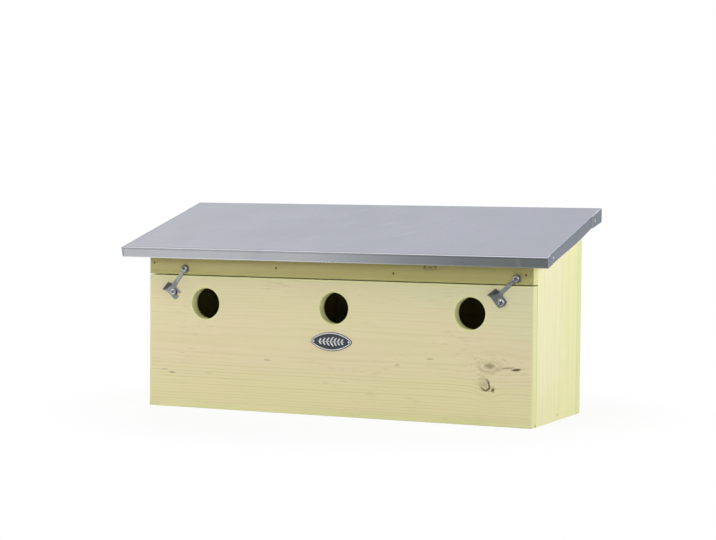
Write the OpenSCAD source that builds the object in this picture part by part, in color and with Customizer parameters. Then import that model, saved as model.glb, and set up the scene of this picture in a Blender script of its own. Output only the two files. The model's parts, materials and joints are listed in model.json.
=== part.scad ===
// Sparrow terrace: a long nest box with three entrances, a drop-down front and a folded metal roof.
// Millimetres, +Z up. X runs along the box and the front faces -Y. The origin is the middle
// of the case's length and of the whole depth with the roof, on the plane that it stands on.

/* [Case] */
// Length of the case along X
box_w = 470.5; // [430:0.5:520]
// Depth of the case from the face of the front rail to its back
box_d = 164; // [150:1:190]
// Height of the front rail's face, above the gap
rail_h = 27.7; // [24:0.1:40]
// Thickness of the boards of the case and of the door
board_t = 13.5; // [12:0.5:18]
// Distance of each partition's middle plane from the middle of the box
partition_x = 73; // [60:0.5:82]

/* [Front door] */
// Height of the door
door_h = 152.3; // [148:0.1:156]
// Gap between the door and the rail above it
rail_gap = 1; // [0.6:0.1:2]
// Play between the back of the closed door and the case
door_play = 0.3; // [0.2:0.1:0.6]
// Diameter of the entrance holes
entrance_d = 35.5; // [28:0.5:38]
// Distance of the outer entrances' centres from the ends of the case, left and right
entrance_inset = [73.5, 72.3];
// Depth of the entrances' centres below the door's upper edge
entrance_drop = 31.6; // [26:0.1:50]

/* [Roof] */
// Slope of the roof in degrees
roof_pitch = 15.25; // [10:0.25:20]
// Overhang of the roof in front of the rail
eave_front = 22.3; // [18:0.1:34]
// Overhang of the roof past the ends of the case, left and right
eave_side = [24.9, 22.2];
// Thickness of the roof board
roof_board_t = 8; // [6:0.5:9]
// Thickness of the sheet metal
sheet_t = 0.8; // [0.5:0.1:1.2]
// Depth of the folded edge at the front and the sides
flange_h = 12; // [11:0.5:16]
// Depth of the folded corner at the back
rear_corner_h = 16; // [14:0.5:20]
// Length along the eave's end of each front corner tab, at its top and at its lower edge
front_tab = [9.3, 14.9];
// Length of each rear corner tab
rear_tab = 33.5; // [20:0.5:50]
// Greatest depth by which the side folds' lower edges belly out
fold_belly = 1.7; // [0:0.1:2.5]
// Length of the end of the rear fold that is as deep as the corner
rear_deep_len = 22; // [12:0.5:23]

/* [Catches] */
// Distance of the keeper screws from the ends of the case, left and right
keeper_inset = [32.2, 35.4];
// Depth of the keeper screws below the door's upper edge, left and right
keeper_drop = [19.3, 18.3];
// Distance from a catch's pivot to its keeper screw
catch_reach = 30.7; // [29:0.1:32]
// Slant of the line through each catch's two screws, left and right, from upright
screw_slant = [28, 32];
// Slant of each closed catch's arm, left and right, from upright
arm_slant = [36, 48];
// Thickness of the catches' steel
catch_t = 1.2; // [0.8:0.1:1.5]
// Width of a catch's arm
arm_w = 4.2; // [3.5:0.1:6]
// Width of a catch's fork, across both prongs
fork_w = 11.7; // [10.5:0.1:13]
// Length of the prongs from the arm's middle line
fork_len = 12.4; // [11:0.1:14]
// Corner cut off the outer edge of each prong's end
prong_taper = 1.6; // [0.4:0.1:2.2]
// Turn of the fork and its tab against the arm, in degrees
fork_tilt = 4.5; // [0:0.5:8]
// Width of the slot between the prongs
fork_slot = 3.9; // [3.8:0.1:5]
// Length of the finger tab
tab_len = 7; // [4:0.1:8]
// Angle by which the finger tab is bent forward
tab_bend = 50; // [30:1:70]

/* [Screws and nails] */
// Shank radius of the catch screws
screw_r = 1.5; // [1.2:0.1:1.8]
// Head radius of the catch screws
screw_head_r = 4.1; // [3.4:0.1:4.5]
// Height of the catch screws' heads
screw_head_h = 2.4; // [1.8:0.1:3]
// Length of the catch screws' shanks below the head
screw_len = 14; // [10:0.5:16]
// Shank radius of the nails
nail_r = 0.8; // [0.6:0.1:1.2]
// Head radius of the nails
nail_head_r = 1.3; // [1.1:0.1:1.8]
// Length of the nails in the boards
nail_len = 34; // [26:1:40]
// Length of the nails in the folded edge of the roof
clout_len = 12; // [8:1:16]

/* [Hinges] */
// Distance of each hinge's middle from the end of the case
hinge_inset = 85.25; // [60:0.25:125]
// Length of a hinge along its pin
hinge_len = 30; // [24:1:40]
// Height of the hinge line above the underside
hinge_z = 2; // [2:0.1:2.4]
// Radius of the rolled knuckles
knuckle_r = 1.9; // [1.7:0.05:2]
// Radius of the hinge pin
hinge_pin_r = 0.8; // [0.6:0.05:0.9]
// Height of a leaf above the hinge line
leaf_h = 10.5; // [9:0.1:12]
// Thickness of a leaf
leaf_t = 1; // [0.8:0.05:1.1]

/* [Oval plate] */
// Width and height of the plate
plate_size = [50, 21];
// Depth of the plate's centre below the middle entrance's centre
plate_below = 37.1; // [30:0.1:60]
// Distance of the plate's centre to the left of the middle entrance's centre
plate_left = 2.4; // [0:0.1:6]
// Thickness of the plate
plate_t = 0.8; // [0.5:0.1:1.5]
// Width of the raised rim
plate_rim = 1.1; // [0.8:0.1:2]

/* [Wall screws] */
// Radius of the two holes in the back board for the wall screws
wall_hole_r = 3; // [2.5:0.25:4]
// Distance of each wall screw from the end of the case
wall_hole_inset = 72.75; // [45:0.25:95]
// Depth of the wall screws below the door's upper edge, in reach when the door is down
wall_hole_drop = 27.3; // [15:0.1:60]

/* [Hidden] */
$fn = 64;

LEFT = 0;
RIGHT = 1;
side_sign = [-1, 1];
// Extra length of a cutting solid past the face that it cuts
cut = 1;
// Hair's breadth left round nails, screws and under the roof board
hair = 0.03;

// The case along Y: rail face, back of the rail, front of the back board, back
rail_y = (eave_front - box_d) / 2;
case_y = rail_y + board_t;
back_in_y = rail_y + box_d - board_t;
back_y = rail_y + box_d;
half_w = box_w / 2;
inner_w = box_w - 2 * board_t;
front_h = door_h + rail_gap + rail_h;

// Places that hang from the door's upper edge or stand in from the ends of the case
outer_entrance_x = [for (i = [LEFT, RIGHT]) side_sign[i] * (half_w - entrance_inset[i])];
middle_entrance_x = (outer_entrance_x[LEFT] + outer_entrance_x[RIGHT]) / 2;
entrance_x = concat(outer_entrance_x, middle_entrance_x);
plate_x = middle_entrance_x - plate_left;
entrance_z = door_h - entrance_drop;
plate_z = entrance_z - plate_below;
hinge_x = half_w - hinge_inset;
wall_hole_x = half_w - wall_hole_inset;
wall_hole_z = door_h - wall_hole_drop;

// The door along Y
door_back_y = case_y - door_play;
door_y = door_back_y - board_t;

// The roof: heights of its planes over a place y
eave_y = rail_y - eave_front;
roof_end = [for (i = [LEFT, RIGHT]) side_sign[i] * (half_w + eave_side[i])];
roof_stack = sheet_t + roof_board_t;
roof_seat = roof_stack + hair;
sheet_play = 0.2;
function plane_z(y, depth) =
    front_h + (y - rail_y) * tan(roof_pitch) + (roof_stack - depth) / cos(roof_pitch);
// A point d up the slope from the eave and h square below the sheet's outer face
function slope_pt(d, h) = [
    eave_y + d * cos(roof_pitch) + h * sin(roof_pitch),
    plane_z(eave_y, 0) + d * sin(roof_pitch) - h * cos(roof_pitch)
];
function on_plane(y, depth) = [y, plane_z(y, depth)];

// Catch places
keeper_x = [for (i = [LEFT, RIGHT]) side_sign[i] * (half_w - keeper_inset[i])];
keeper_z = [for (i = [LEFT, RIGHT]) door_h - keeper_drop[i]];
pivot_x = [for (i = [LEFT, RIGHT]) keeper_x[i] + catch_reach * sin(screw_slant[i])];
pivot_z = [for (i = [LEFT, RIGHT]) keeper_z[i] + catch_reach * cos(screw_slant[i])];
eye_r = screw_head_r + 0.6;
catch_play = 0.3;
catch_bore_r = screw_r + 0.1;
catch_back_y = door_y - catch_play;
catch_front_y = catch_back_y - catch_t;
screw_seat_y = catch_front_y - catch_play;
fork_near = catch_reach - 6.7;
fold_t = -arm_w / 2 - 0.2;
// Round inner corner between the arm and the fork
catch_corner_r = 2;

// Hinge line and its pockets
hinge_y = case_y - door_play / 2;
pocket_r = knuckle_r + 0.4;
hinge_bore_r = hinge_pin_r + 0.1;
knuckle_gap = 0.3;
knuckle_len = (hinge_len - 2 * knuckle_gap) / 3;
leaf_foot = pocket_r + 0.1;
mortise_play = 0.2;
leaf_screw_r = 1;
leaf_screw_head_r = 1.9;
leaf_screw_len = 9;
leaf_screw_x = hinge_len / 3;
leaf_screw_z = hinge_z + (leaf_foot + leaf_h) / 2;
// Rebate along the door's lower back edge, which lets it turn past the case
rebate_d = hinge_z + door_play / 2 + 0.4;
rebate_h = hinge_z + 0.3;

// Nails: how far each head sits below the face
nail_sink = 0.5;
nail_head_h = 0.8;
// Hand-set rail nails: offsets from the middle of the boards behind and of the rail's height
rail_nail_x = [
    -half_w + board_t / 2 - 1.1, -partition_x + 1.3,
    partition_x - 0.6, half_w - board_t / 2 - 2.1
];
rail_nail_z = [for (h = [-1.1, -3.4, -5.4, -3.1]) front_h - rail_h / 2 + h];
// Nails through the ends into the floor and through the back into the boards
side_nail_y = (case_y + back_in_y) / 2 + 1.7;
back_nail_z = [for (k = [0.2, 0.52, 0.84]) k * plane_z(back_y, roof_stack)];
back_nail_x = [
    -half_w + board_t / 2, -partition_x, partition_x, half_w - board_t / 2
];
floor_nail_x = [for (s = side_sign) s * (partition_x + inner_w / 2) / 2];
// Nails in the folded edge, as distances up the slope and below the sheet's face
clout_at = [[18.7, 5.6], [165.2, 7]];

// ---------- shapes used more than once ----------

// A profile in the YZ plane carried along X from x0 to x1
module along_x(x0, x1, profile) {
    translate([x0, 0, 0]) rotate([90, 0, 90])
        linear_extrude(x1 - x0) polygon(profile);
}

// The same profile, t thick, centred on the plane at x
module on_end(x, t, profile) along_x(x - t / 2, x + t / 2, profile);

// Turn +Z to point into the case from its front or back, or along +X
module into_front() rotate([-90, 0, 0]) children();
module into_back() rotate([90, 0, 0]) children();
module to_right() rotate([0, 90, 0]) children();

// A round nail driven along +Z from a face at z = 0
module nail(len) {
    translate([0, 0, nail_sink]) cylinder(r = nail_head_r, h = nail_head_h);
    translate([0, 0, nail_sink]) cylinder(r = nail_r, h = len - nail_sink);
}

// The hole that such a nail makes
module nail_hole(len) {
    translate([0, 0, -cut])
        cylinder(r = nail_head_r + hair, h = cut + nail_sink + nail_head_h);
    cylinder(r = nail_r + hair, h = len + hair);
}

// A pan head screw with a cross recess; its seat is z = 0 and its shank runs along +Z
module pan_screw() {
    rim_h = screw_head_h * 0.45;
    cap_h = screw_head_h - rim_h;
    cap_r = (pow(screw_head_r, 2) + pow(cap_h, 2)) / (2 * cap_h);
    difference() {
        union() {
            translate([0, 0, -rim_h]) cylinder(r = screw_head_r, h = rim_h);
            intersection() {
                translate([0, 0, cap_r - screw_head_h]) sphere(r = cap_r);
                translate([0, 0, -screw_head_h]) cylinder(r = screw_head_r, h = cap_h);
            }
            cylinder(r = screw_r, h = screw_len - 3);
            translate([0, 0, screw_len - 3]) cylinder(r1 = screw_r, r2 = 0.3, h = 3);
        }
        for (a = [0, 90]) rotate([0, 0, a + 20])
            translate([-2.1, -0.5, -screw_head_h - cut]) cube([4.2, 1, cut + 1.5]);
    }
}

// The hole in the wood for such a screw
module pan_screw_hole() {
    cylinder(r = screw_r + hair, h = screw_len + hair);
}

// A countersunk screw whose flat head lies at z = 0
module leaf_screw() {
    cylinder(r1 = leaf_screw_head_r, r2 = leaf_screw_r, h = leaf_t - 0.1);
    cylinder(r = leaf_screw_r, h = leaf_screw_len);
}

// ---------- case ----------

module floor_board() color("khaki") difference() {
    translate([-inner_w / 2, case_y, 0]) cube([inner_w, back_in_y - case_y, board_t]);
    for (s = side_sign) translate([s * hinge_x, 0, 0]) hinge_seat(1);
    side_nail_places() nail_hole(nail_len);
    floor_nail_places() nail_hole(nail_len);
}

module back_board() color("khaki") difference() {
    along_x(-half_w, half_w, [
        [back_in_y, 0], [back_y, 0],
        on_plane(back_y, roof_seat), on_plane(back_in_y, roof_seat)
    ]);
    for (s = side_sign)
        translate([s * wall_hole_x, back_y + cut, wall_hole_z])
            into_back() cylinder(r = wall_hole_r, h = board_t + 2 * cut);
    back_nail_places() nail_hole(nail_len);
    floor_nail_places() nail_hole(nail_len);
}

// Profile of a board that stands between the front and the back, from height z0 up
function upright(z0) = [
    [case_y, z0], [back_in_y, z0],
    on_plane(back_in_y, roof_seat), on_plane(case_y, roof_seat)
];

module side_board(x0) difference() {
    along_x(x0, x0 + board_t, upright(0));
    rail_nail_places() nail_hole(nail_len);
    back_nail_places() nail_hole(nail_len);
    side_nail_places() nail_hole(nail_len);
}

module left_side_board() color("palegoldenrod") side_board(-half_w);
module right_side_board() color("palegoldenrod") side_board(half_w - board_t);

module partition(x) difference() {
    along_x(x - board_t / 2, x + board_t / 2, upright(board_t));
    rail_nail_places() nail_hole(nail_len);
    back_nail_places() nail_hole(nail_len);
}

module left_partition() color("palegoldenrod") partition(-partition_x);
module right_partition() color("palegoldenrod") partition(partition_x);

module front_rail() color("darkkhaki") difference() {
    along_x(-half_w, half_w, [
        [rail_y, door_h + rail_gap], [case_y, door_h + rail_gap],
        on_plane(case_y, roof_seat), on_plane(rail_y, roof_seat)
    ]);
    rail_nail_places() nail_hole(nail_len);
    for (i = [LEFT, RIGHT]) pivot_place(i) pan_screw_hole();
}

// ---------- roof ----------

module roof_board() color("burlywood") difference() {
    along_x(roof_end[LEFT] + sheet_t + sheet_play, roof_end[RIGHT] - sheet_t - sheet_play, [
        slope_pt(sheet_t, roof_stack), slope_pt(sheet_t, sheet_t),
        on_plane(back_y - sheet_t, sheet_t), on_plane(back_y - sheet_t, roof_stack)
    ]);
    roof_nail_places() cylinder(r = nail_r + hair, h = clout_len + hair);
}

tab_inset = 0.3;
rear_tab_drop = 1.2;
roof_run = (back_y - eave_y) / cos(roof_pitch);
rear_low_z = plane_z(back_y, 0) - rear_corner_h;
// Fold of the sheet down the end of the roof board, in the plane of the end; its lower
// edge bellies a little past the middle, as a hand-folded one does
side_fold = [
    slope_pt(0, 0), slope_pt(0, flange_h),
    for (k = [0.15 : 0.1 : 0.85])
        slope_pt(k * roof_run, flange_h + fold_belly * pow(sin(180 * (k - 0.04)), 3)),
    on_plane(back_y, flange_h), on_plane(back_y, 0)
];
// The tabs start below the sheet's bend and stop short of the end fold's lower edge
front_tab_fold = [
    slope_pt(sheet_t / 2, tab_inset), slope_pt(sheet_t / 2, flange_h - tab_inset),
    slope_pt(front_tab[1], flange_h - tab_inset), slope_pt(front_tab[0], tab_inset)
];
rear_tab_fold = [
    on_plane(back_y - rear_tab, tab_inset), on_plane(back_y - rear_tab, flange_h + rear_tab_drop),
    [back_y, rear_low_z], on_plane(back_y, tab_inset)
];
rear_deep_fold = [
    [back_y - sheet_t, rear_low_z + tab_inset], [back_y, rear_low_z + tab_inset],
    on_plane(back_y, tab_inset), on_plane(back_y - sheet_t, tab_inset)
];
// Folded lip along the eave, which runs on round the corners into the front tabs
eave_fold = [
    slope_pt(0, 0), slope_pt(0, flange_h), slope_pt(sheet_t, flange_h), slope_pt(sheet_t, 0)
];

module roof_sheet() color("lightsteelblue") difference() {
    union() {
        along_x(roof_end[LEFT], roof_end[RIGHT], [
            slope_pt(0, 0), slope_pt(sheet_t, sheet_t), on_plane(back_y - sheet_t, sheet_t),
            on_plane(back_y - sheet_t, roof_stack), on_plane(back_y, roof_stack),
            on_plane(back_y, 0)
        ]);
        along_x(roof_end[LEFT] - sheet_t, roof_end[RIGHT] + sheet_t, eave_fold);
        for (i = [LEFT, RIGHT]) {
            on_end(roof_end[i] - side_sign[i] * sheet_t / 2, sheet_t, side_fold);
            on_end(roof_end[i], 2 * sheet_t, front_tab_fold);
            on_end(roof_end[i], 2 * sheet_t, rear_tab_fold);
            on_end(roof_end[i] + side_sign[i] * (sheet_t - rear_deep_len / 2),
                rear_deep_len, rear_deep_fold);
        }
    }
    roof_nail_places() translate([0, 0, -2 * cut]) cylinder(r = nail_r + hair, h = clout_len);
}

// ---------- nails and screws ----------

module rail_nail_places() {
    for (i = [0 : 3])
        translate([rail_nail_x[i], rail_y, rail_nail_z[i]]) into_front() children();
}

module back_nail_places() {
    for (x = back_nail_x, z = back_nail_z)
        translate([x, back_y, z]) into_back() children();
}

// Nails through the side boards into the floor's ends
module side_nail_places() {
    for (s = side_sign)
        translate([s * half_w, side_nail_y, board_t / 2])
            rotate([0, -90 * s, 0]) children();
}

// Nails through the back board into the floor's rear edge
module floor_nail_places() {
    for (x = floor_nail_x)
        translate([x, back_y, board_t / 2]) into_back() children();
}

// Both ends of the roof: the shank starts at the outer face of the folded metal
module roof_nail_places() {
    for (i = [LEFT, RIGHT], k = [0, 1]) {
        at = slope_pt(clout_at[k][0], clout_at[k][1]);
        // The rear nails pass through the corner tab too
        translate([roof_end[i] + side_sign[i] * k * sheet_t, at[0], at[1]])
            rotate([0, -90 * side_sign[i], 0]) children();
    }
}

module rail_nails() color("dimgray") rail_nail_places() nail(nail_len);

module side_nails() color("dimgray") side_nail_places() nail(nail_len);

module back_nails() color("dimgray") {
    back_nail_places() nail(nail_len);
    floor_nail_places() nail(nail_len);
}

module roof_nails() color("slategray") roof_nail_places() {
    translate([0, 0, -0.5]) cylinder(r = nail_head_r, h = 0.5);
    cylinder(r = nail_r, h = clout_len);
}

module pivot_place(i) {
    translate([pivot_x[i], screw_seat_y, pivot_z[i]]) into_front() children();
}

module keeper_place(i) {
    translate([keeper_x[i], screw_seat_y, keeper_z[i]]) into_front() children();
}

module left_pivot_screw() color("silver") pivot_place(LEFT) pan_screw();
module right_pivot_screw() color("silver") pivot_place(RIGHT) pan_screw();
module left_keeper_screw() color("silver") keeper_place(LEFT) pan_screw();
module right_keeper_screw() color("silver") keeper_place(RIGHT) pan_screw();

// ---------- hinges, let into the door's back and the floor's front edge ----------

// The wood taken out for a hinge at x = 0: way is 1 for the floor, -1 for the door
module hinge_seat(way) {
    seat_len = hinge_len + 2 * mortise_play;
    face_y = way > 0 ? case_y : door_back_y;
    translate([-seat_len / 2, hinge_y, hinge_z]) to_right() cylinder(r = pocket_r, h = seat_len);
    translate([-seat_len / 2, way > 0 ? face_y - cut : face_y - leaf_t, hinge_z])
        cube([seat_len, leaf_t + cut, leaf_h + mortise_play]);
    for (s = side_sign) translate([s * leaf_screw_x, face_y, leaf_screw_z])
        rotate([-90 * way, 0, 0]) cylinder(r = leaf_screw_r + hair, h = leaf_screw_len + hair);
}

// A leaf and its rolled knuckles; knuckles lists their first ends along the pin
module hinge_leaf(way, knuckles) {
    plate_y = way > 0 ? case_y : door_back_y - leaf_t;
    difference() {
        union() {
            translate([-hinge_len / 2, plate_y, hinge_z + leaf_foot])
                cube([hinge_len, leaf_t, leaf_h - leaf_foot]);
            for (k = knuckles) {
                translate([k, plate_y, hinge_z + hinge_bore_r + 0.2])
                    cube([knuckle_len, leaf_t, leaf_foot]);
                translate([k, hinge_y, hinge_z]) to_right()
                    cylinder(r = knuckle_r, h = knuckle_len);
            }
        }
        translate([-hinge_len / 2 - cut, hinge_y, hinge_z]) to_right()
            cylinder(r = hinge_bore_r, h = hinge_len + 2 * cut);
        for (s = side_sign)
            translate([s * leaf_screw_x, way > 0 ? case_y : door_back_y, leaf_screw_z])
                rotate([-90 * way, 0, 0]) leaf_screw();
    }
}

floor_knuckles = [-hinge_len / 2, hinge_len / 2 - knuckle_len];
door_knuckles = [-knuckle_len / 2];

module floor_leaf(x) translate([x, 0, 0]) hinge_leaf(1, floor_knuckles);
module door_leaf(x) translate([x, 0, 0]) hinge_leaf(-1, door_knuckles);
module hinge_pin(x) translate([x - hinge_len / 2, hinge_y, hinge_z]) to_right()
    cylinder(r = hinge_pin_r, h = hinge_len);

module left_hinge_floor_leaf() color("darkgray") floor_leaf(-hinge_x);
module right_hinge_floor_leaf() color("darkgray") floor_leaf(hinge_x);
module left_hinge_door_leaf() color("darkgray") door_leaf(-hinge_x);
module right_hinge_door_leaf() color("darkgray") door_leaf(hinge_x);
module left_hinge_pin() color("gray") hinge_pin(-hinge_x);
module right_hinge_pin() color("gray") hinge_pin(hinge_x);

module leaf_screws(way) {
    for (h = side_sign, s = side_sign)
        translate([h * hinge_x + s * leaf_screw_x, way > 0 ? case_y : door_back_y, leaf_screw_z])
            rotate([-90 * way, 0, 0]) leaf_screw();
}

module hinge_floor_screws() color("silver") leaf_screws(1);
module hinge_door_screws() color("silver") leaf_screws(-1);

// ---------- door ----------

module front_door() color("khaki") difference() {
    translate([-half_w, door_y, 0]) cube([box_w, board_t, door_h]);
    for (x = entrance_x)
        translate([x, door_y - cut, entrance_z])
            into_front() cylinder(r = entrance_d / 2, h = board_t + 2 * cut);
    translate([-half_w - cut, door_back_y - rebate_d, -cut])
        cube([box_w + 2 * cut, rebate_d + cut, rebate_h + cut]);
    for (s = side_sign) translate([s * hinge_x, 0, 0]) hinge_seat(-1);
    for (i = [LEFT, RIGHT]) keeper_place(i) pan_screw_hole();
    plate_pin_places() cylinder(r = plate_pin_r + hair, h = plate_pin_len + hair);
}

// ---------- oval plate ----------

plate_end_r = 3.5;
plate_pin_r = 0.6;
plate_pin_head_r = 1.1;
plate_pin_len = 8;
plate_pin_x = plate_size[0] / 2 - plate_end_r;
relief_h = 0.3;

// An oval w by h: two wide arcs and two end arcs of radius r that meet them smoothly
module oval(w, h, r, t) {
    c = (pow(w / 2 - r, 2) - pow(h / 2 - r, 2)) / (2 * (h / 2 - r));
    big = c + h / 2;
    meet_x = (w / 2 - r) * big / (big - r);
    intersection() {
        translate([0, -c, 0]) cylinder(r = big, h = t, $fn = 128);
        translate([0, c, 0]) cylinder(r = big, h = t, $fn = 128);
        translate([-meet_x, -h, 0]) cube([2 * meet_x, 2 * h, t]);
    }
    for (s = side_sign) translate([s * (w / 2 - r), 0, 0]) cylinder(r = r, h = t);
}

module inset_oval(inset, t) {
    oval(plate_size[0] - 2 * inset, plate_size[1] - 2 * inset, plate_end_r - inset, t);
}

// A leaf of the sprig: two arcs that meet in points, along +Y from the origin
module sprig_leaf(len, wide) {
    arc_r = (pow(len / 2, 2) + pow(wide / 2, 2)) / wide;
    translate([0, len / 2, 0]) intersection() {
        translate([arc_r - wide / 2, 0, 0]) cylinder(r = arc_r, h = relief_h);
        translate([wide / 2 - arc_r, 0, 0]) cylinder(r = arc_r, h = relief_h);
    }
}

module oval_plate() color("slategray")
    translate([plate_x, door_y, plate_z]) rotate([90, 0, 0]) difference() {
        union() {
            inset_oval(0, plate_t);
            translate([0, 0, plate_t]) difference() {
                inset_oval(0, relief_h);
                translate([0, 0, -cut]) inset_oval(plate_rim, relief_h + 2 * cut);
            }
            translate([0, 0, plate_t]) {
                translate([-15, -0.35, 0]) cube([30, 0.7, relief_h]);
                for (k = [-3 : 3], s = side_sign)
                    translate([k * 4 - 1, 0, 0]) rotate([0, 0, s > 0 ? -38 : -142])
                        sprig_leaf(6.4 - abs(k) * 0.5, 2);
            }
        }
        for (s = side_sign) translate([s * plate_pin_x, 0, -cut])
            cylinder(r = plate_pin_r + hair, h = plate_t + relief_h + 2 * cut);
    }

module plate_pin_places() {
    for (s = side_sign)
        translate([plate_x + s * plate_pin_x, door_y, plate_z]) into_front() children();
}

module plate_pins() color("silver") plate_pin_places() {
    cylinder(r = plate_pin_r, h = plate_pin_len);
    translate([0, 0, -plate_t]) cylinder(r = plate_pin_r, h = plate_t);
    translate([0, 0, -plate_t - 0.6])
        cylinder(r1 = plate_pin_head_r * 0.6, r2 = plate_pin_head_r, h = 0.6);
}

// ---------- catches ----------

// A stamped catch in its own plane: the pivot is the origin, the arm runs down -Y,
// the fork opens towards +X and the finger tab stands up on the -X side, towards +Z
module catch_shape() {
    corner_x = arm_w / 2 + catch_corner_r;
    corner_y = -fork_near - corner_x * tan(fork_tilt) + catch_corner_r / cos(fork_tilt);
    slot_end_x = arm_w / 2 - 0.6 + fork_slot / 2;
    slot_end_y = sqrt(pow(catch_reach, 2) - pow(slot_end_x, 2));
    difference() {
        union() {
            cylinder(r = eye_r, h = catch_t);
            linear_extrude(catch_t) {
                translate([-arm_w / 2, -fork_near - 1]) square([arm_w, fork_near + 1]);
                difference() {
                    translate([0, -fork_near - 1]) square([
                        corner_x - catch_corner_r * sin(fork_tilt), corner_y + fork_near + 1
                    ]);
                    translate([corner_x, corner_y]) circle(r = catch_corner_r);
                }
            }
            translate([0, -fork_near, 0]) rotate([0, 0, -fork_tilt]) fork_blank();
        }
        translate([0, 0, -cut]) cylinder(r = catch_bore_r, h = catch_t + 2 * cut);
        // The slot follows the keeper screw's path round the pivot
        translate([slot_end_x, -slot_end_y, -cut])
            cylinder(r = fork_slot / 2, h = catch_t + 2 * cut);
        intersection() {
            translate([0, 0, -cut]) difference() {
                cylinder(r = catch_reach + fork_slot / 2, h = catch_t + 2 * cut);
                translate([0, 0, -cut])
                    cylinder(r = catch_reach - fork_slot / 2, h = catch_t + 4 * cut);
            }
            translate([slot_end_x, -fork_near - fork_w - 2 * cut, -2 * cut])
                cube([fork_len, fork_w + 4 * cut, catch_t + 4 * cut]);
        }
    }
}

// The fork before its slot, from y = 0 down, with the tab bent up along its -X side
module fork_blank() {
    tab_in = catch_t * tan(tab_bend / 2);
    tab_run = [-tab_len * cos(tab_bend), tab_len * sin(tab_bend)];
    linear_extrude(catch_t) polygon([
        [fold_t + tab_in, 0], [fold_t + tab_in, -fork_w],
        [fork_len - prong_taper, -fork_w], [fork_len, -fork_w + prong_taper],
        [fork_len, -prong_taper], [fork_len - prong_taper, 0]
    ]);
    rotate([90, 0, 0]) linear_extrude(fork_w) polygon([
        [fold_t + tab_in, 0], [fold_t, 0], [fold_t + tab_run[0], tab_run[1]],
        [fold_t + tab_run[0] + catch_t * sin(tab_bend), tab_run[1] + catch_t * cos(tab_bend)],
        [fold_t + tab_in, catch_t]
    ]);
}

module catch(i) {
    translate([pivot_x[i], catch_back_y, pivot_z[i]]) rotate([90, 0, 0])
        rotate([0, 0, -arm_slant[i]]) catch_shape();
}

module left_catch() color("lightslategray") catch(LEFT);
module right_catch() color("lightslategray") catch(RIGHT);

floor_board();
back_board();
left_side_board();
right_side_board();
left_partition();
right_partition();
front_rail();
roof_board();
roof_sheet();
roof_nails();
rail_nails();
side_nails();
back_nails();
left_pivot_screw();
right_pivot_screw();
left_hinge_floor_leaf();
right_hinge_floor_leaf();
left_hinge_pin();
right_hinge_pin();
hinge_floor_screws();
front_door();
oval_plate();
plate_pins();
left_keeper_screw();
right_keeper_screw();
left_hinge_door_leaf();
right_hinge_door_leaf();
hinge_door_screws();
left_catch();
right_catch();
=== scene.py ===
"""Sparrow nest box in treated pine with a folded metal roof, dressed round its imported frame.

Lengths are in metres, X runs along the box, the front faces -Y and Z is up.
"""

from __future__ import annotations

import json
import logging
import math
from collections.abc import Callable
from dataclasses import dataclass, field, replace
from enum import Enum
from typing import ClassVar

import bmesh
import bpy
import numpy as np
from mathutils import Matrix, Vector

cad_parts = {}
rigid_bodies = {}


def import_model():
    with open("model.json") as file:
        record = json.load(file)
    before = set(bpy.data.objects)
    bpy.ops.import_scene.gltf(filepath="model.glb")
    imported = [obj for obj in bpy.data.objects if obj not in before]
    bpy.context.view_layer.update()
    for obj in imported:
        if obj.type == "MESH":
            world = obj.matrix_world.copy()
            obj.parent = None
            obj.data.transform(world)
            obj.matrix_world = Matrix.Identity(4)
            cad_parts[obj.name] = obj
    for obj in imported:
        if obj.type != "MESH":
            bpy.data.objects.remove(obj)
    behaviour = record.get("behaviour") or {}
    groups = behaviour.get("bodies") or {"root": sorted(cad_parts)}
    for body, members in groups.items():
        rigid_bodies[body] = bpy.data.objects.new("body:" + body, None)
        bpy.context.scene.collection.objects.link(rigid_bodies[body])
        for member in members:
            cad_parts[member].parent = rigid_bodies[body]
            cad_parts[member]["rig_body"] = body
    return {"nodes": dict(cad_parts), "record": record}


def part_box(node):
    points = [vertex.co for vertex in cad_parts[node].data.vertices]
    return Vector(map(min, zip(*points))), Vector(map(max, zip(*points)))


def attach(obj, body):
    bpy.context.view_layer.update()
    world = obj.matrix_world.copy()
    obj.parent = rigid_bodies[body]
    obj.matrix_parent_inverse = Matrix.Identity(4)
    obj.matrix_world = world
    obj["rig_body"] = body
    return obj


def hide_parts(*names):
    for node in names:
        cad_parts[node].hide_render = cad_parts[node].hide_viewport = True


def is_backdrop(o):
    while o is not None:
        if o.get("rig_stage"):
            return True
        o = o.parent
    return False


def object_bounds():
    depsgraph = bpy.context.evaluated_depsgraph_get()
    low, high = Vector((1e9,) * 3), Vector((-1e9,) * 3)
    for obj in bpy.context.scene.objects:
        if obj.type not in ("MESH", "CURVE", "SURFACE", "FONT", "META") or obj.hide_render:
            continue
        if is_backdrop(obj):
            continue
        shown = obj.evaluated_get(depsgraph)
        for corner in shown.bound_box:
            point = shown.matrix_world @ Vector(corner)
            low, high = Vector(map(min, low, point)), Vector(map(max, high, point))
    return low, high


LOG = logging.getLogger("nest_box")
MM = 0.001
SAME_POINT = 1e-7
NO_LENGTH = 1e-8
NO_WIDTH = 1e-9
ORIGIN = (0.0, 0.0, 0.0)
IN_FACE = (1.0, 0.0, 1.0)

Colour = tuple[float, float, float]
Point = tuple[float, float, float]
Socket = bpy.types.NodeSocket
Material = bpy.types.Material
Piece = bpy.types.Object


# ---------------------------------------------------------------- node building


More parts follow.
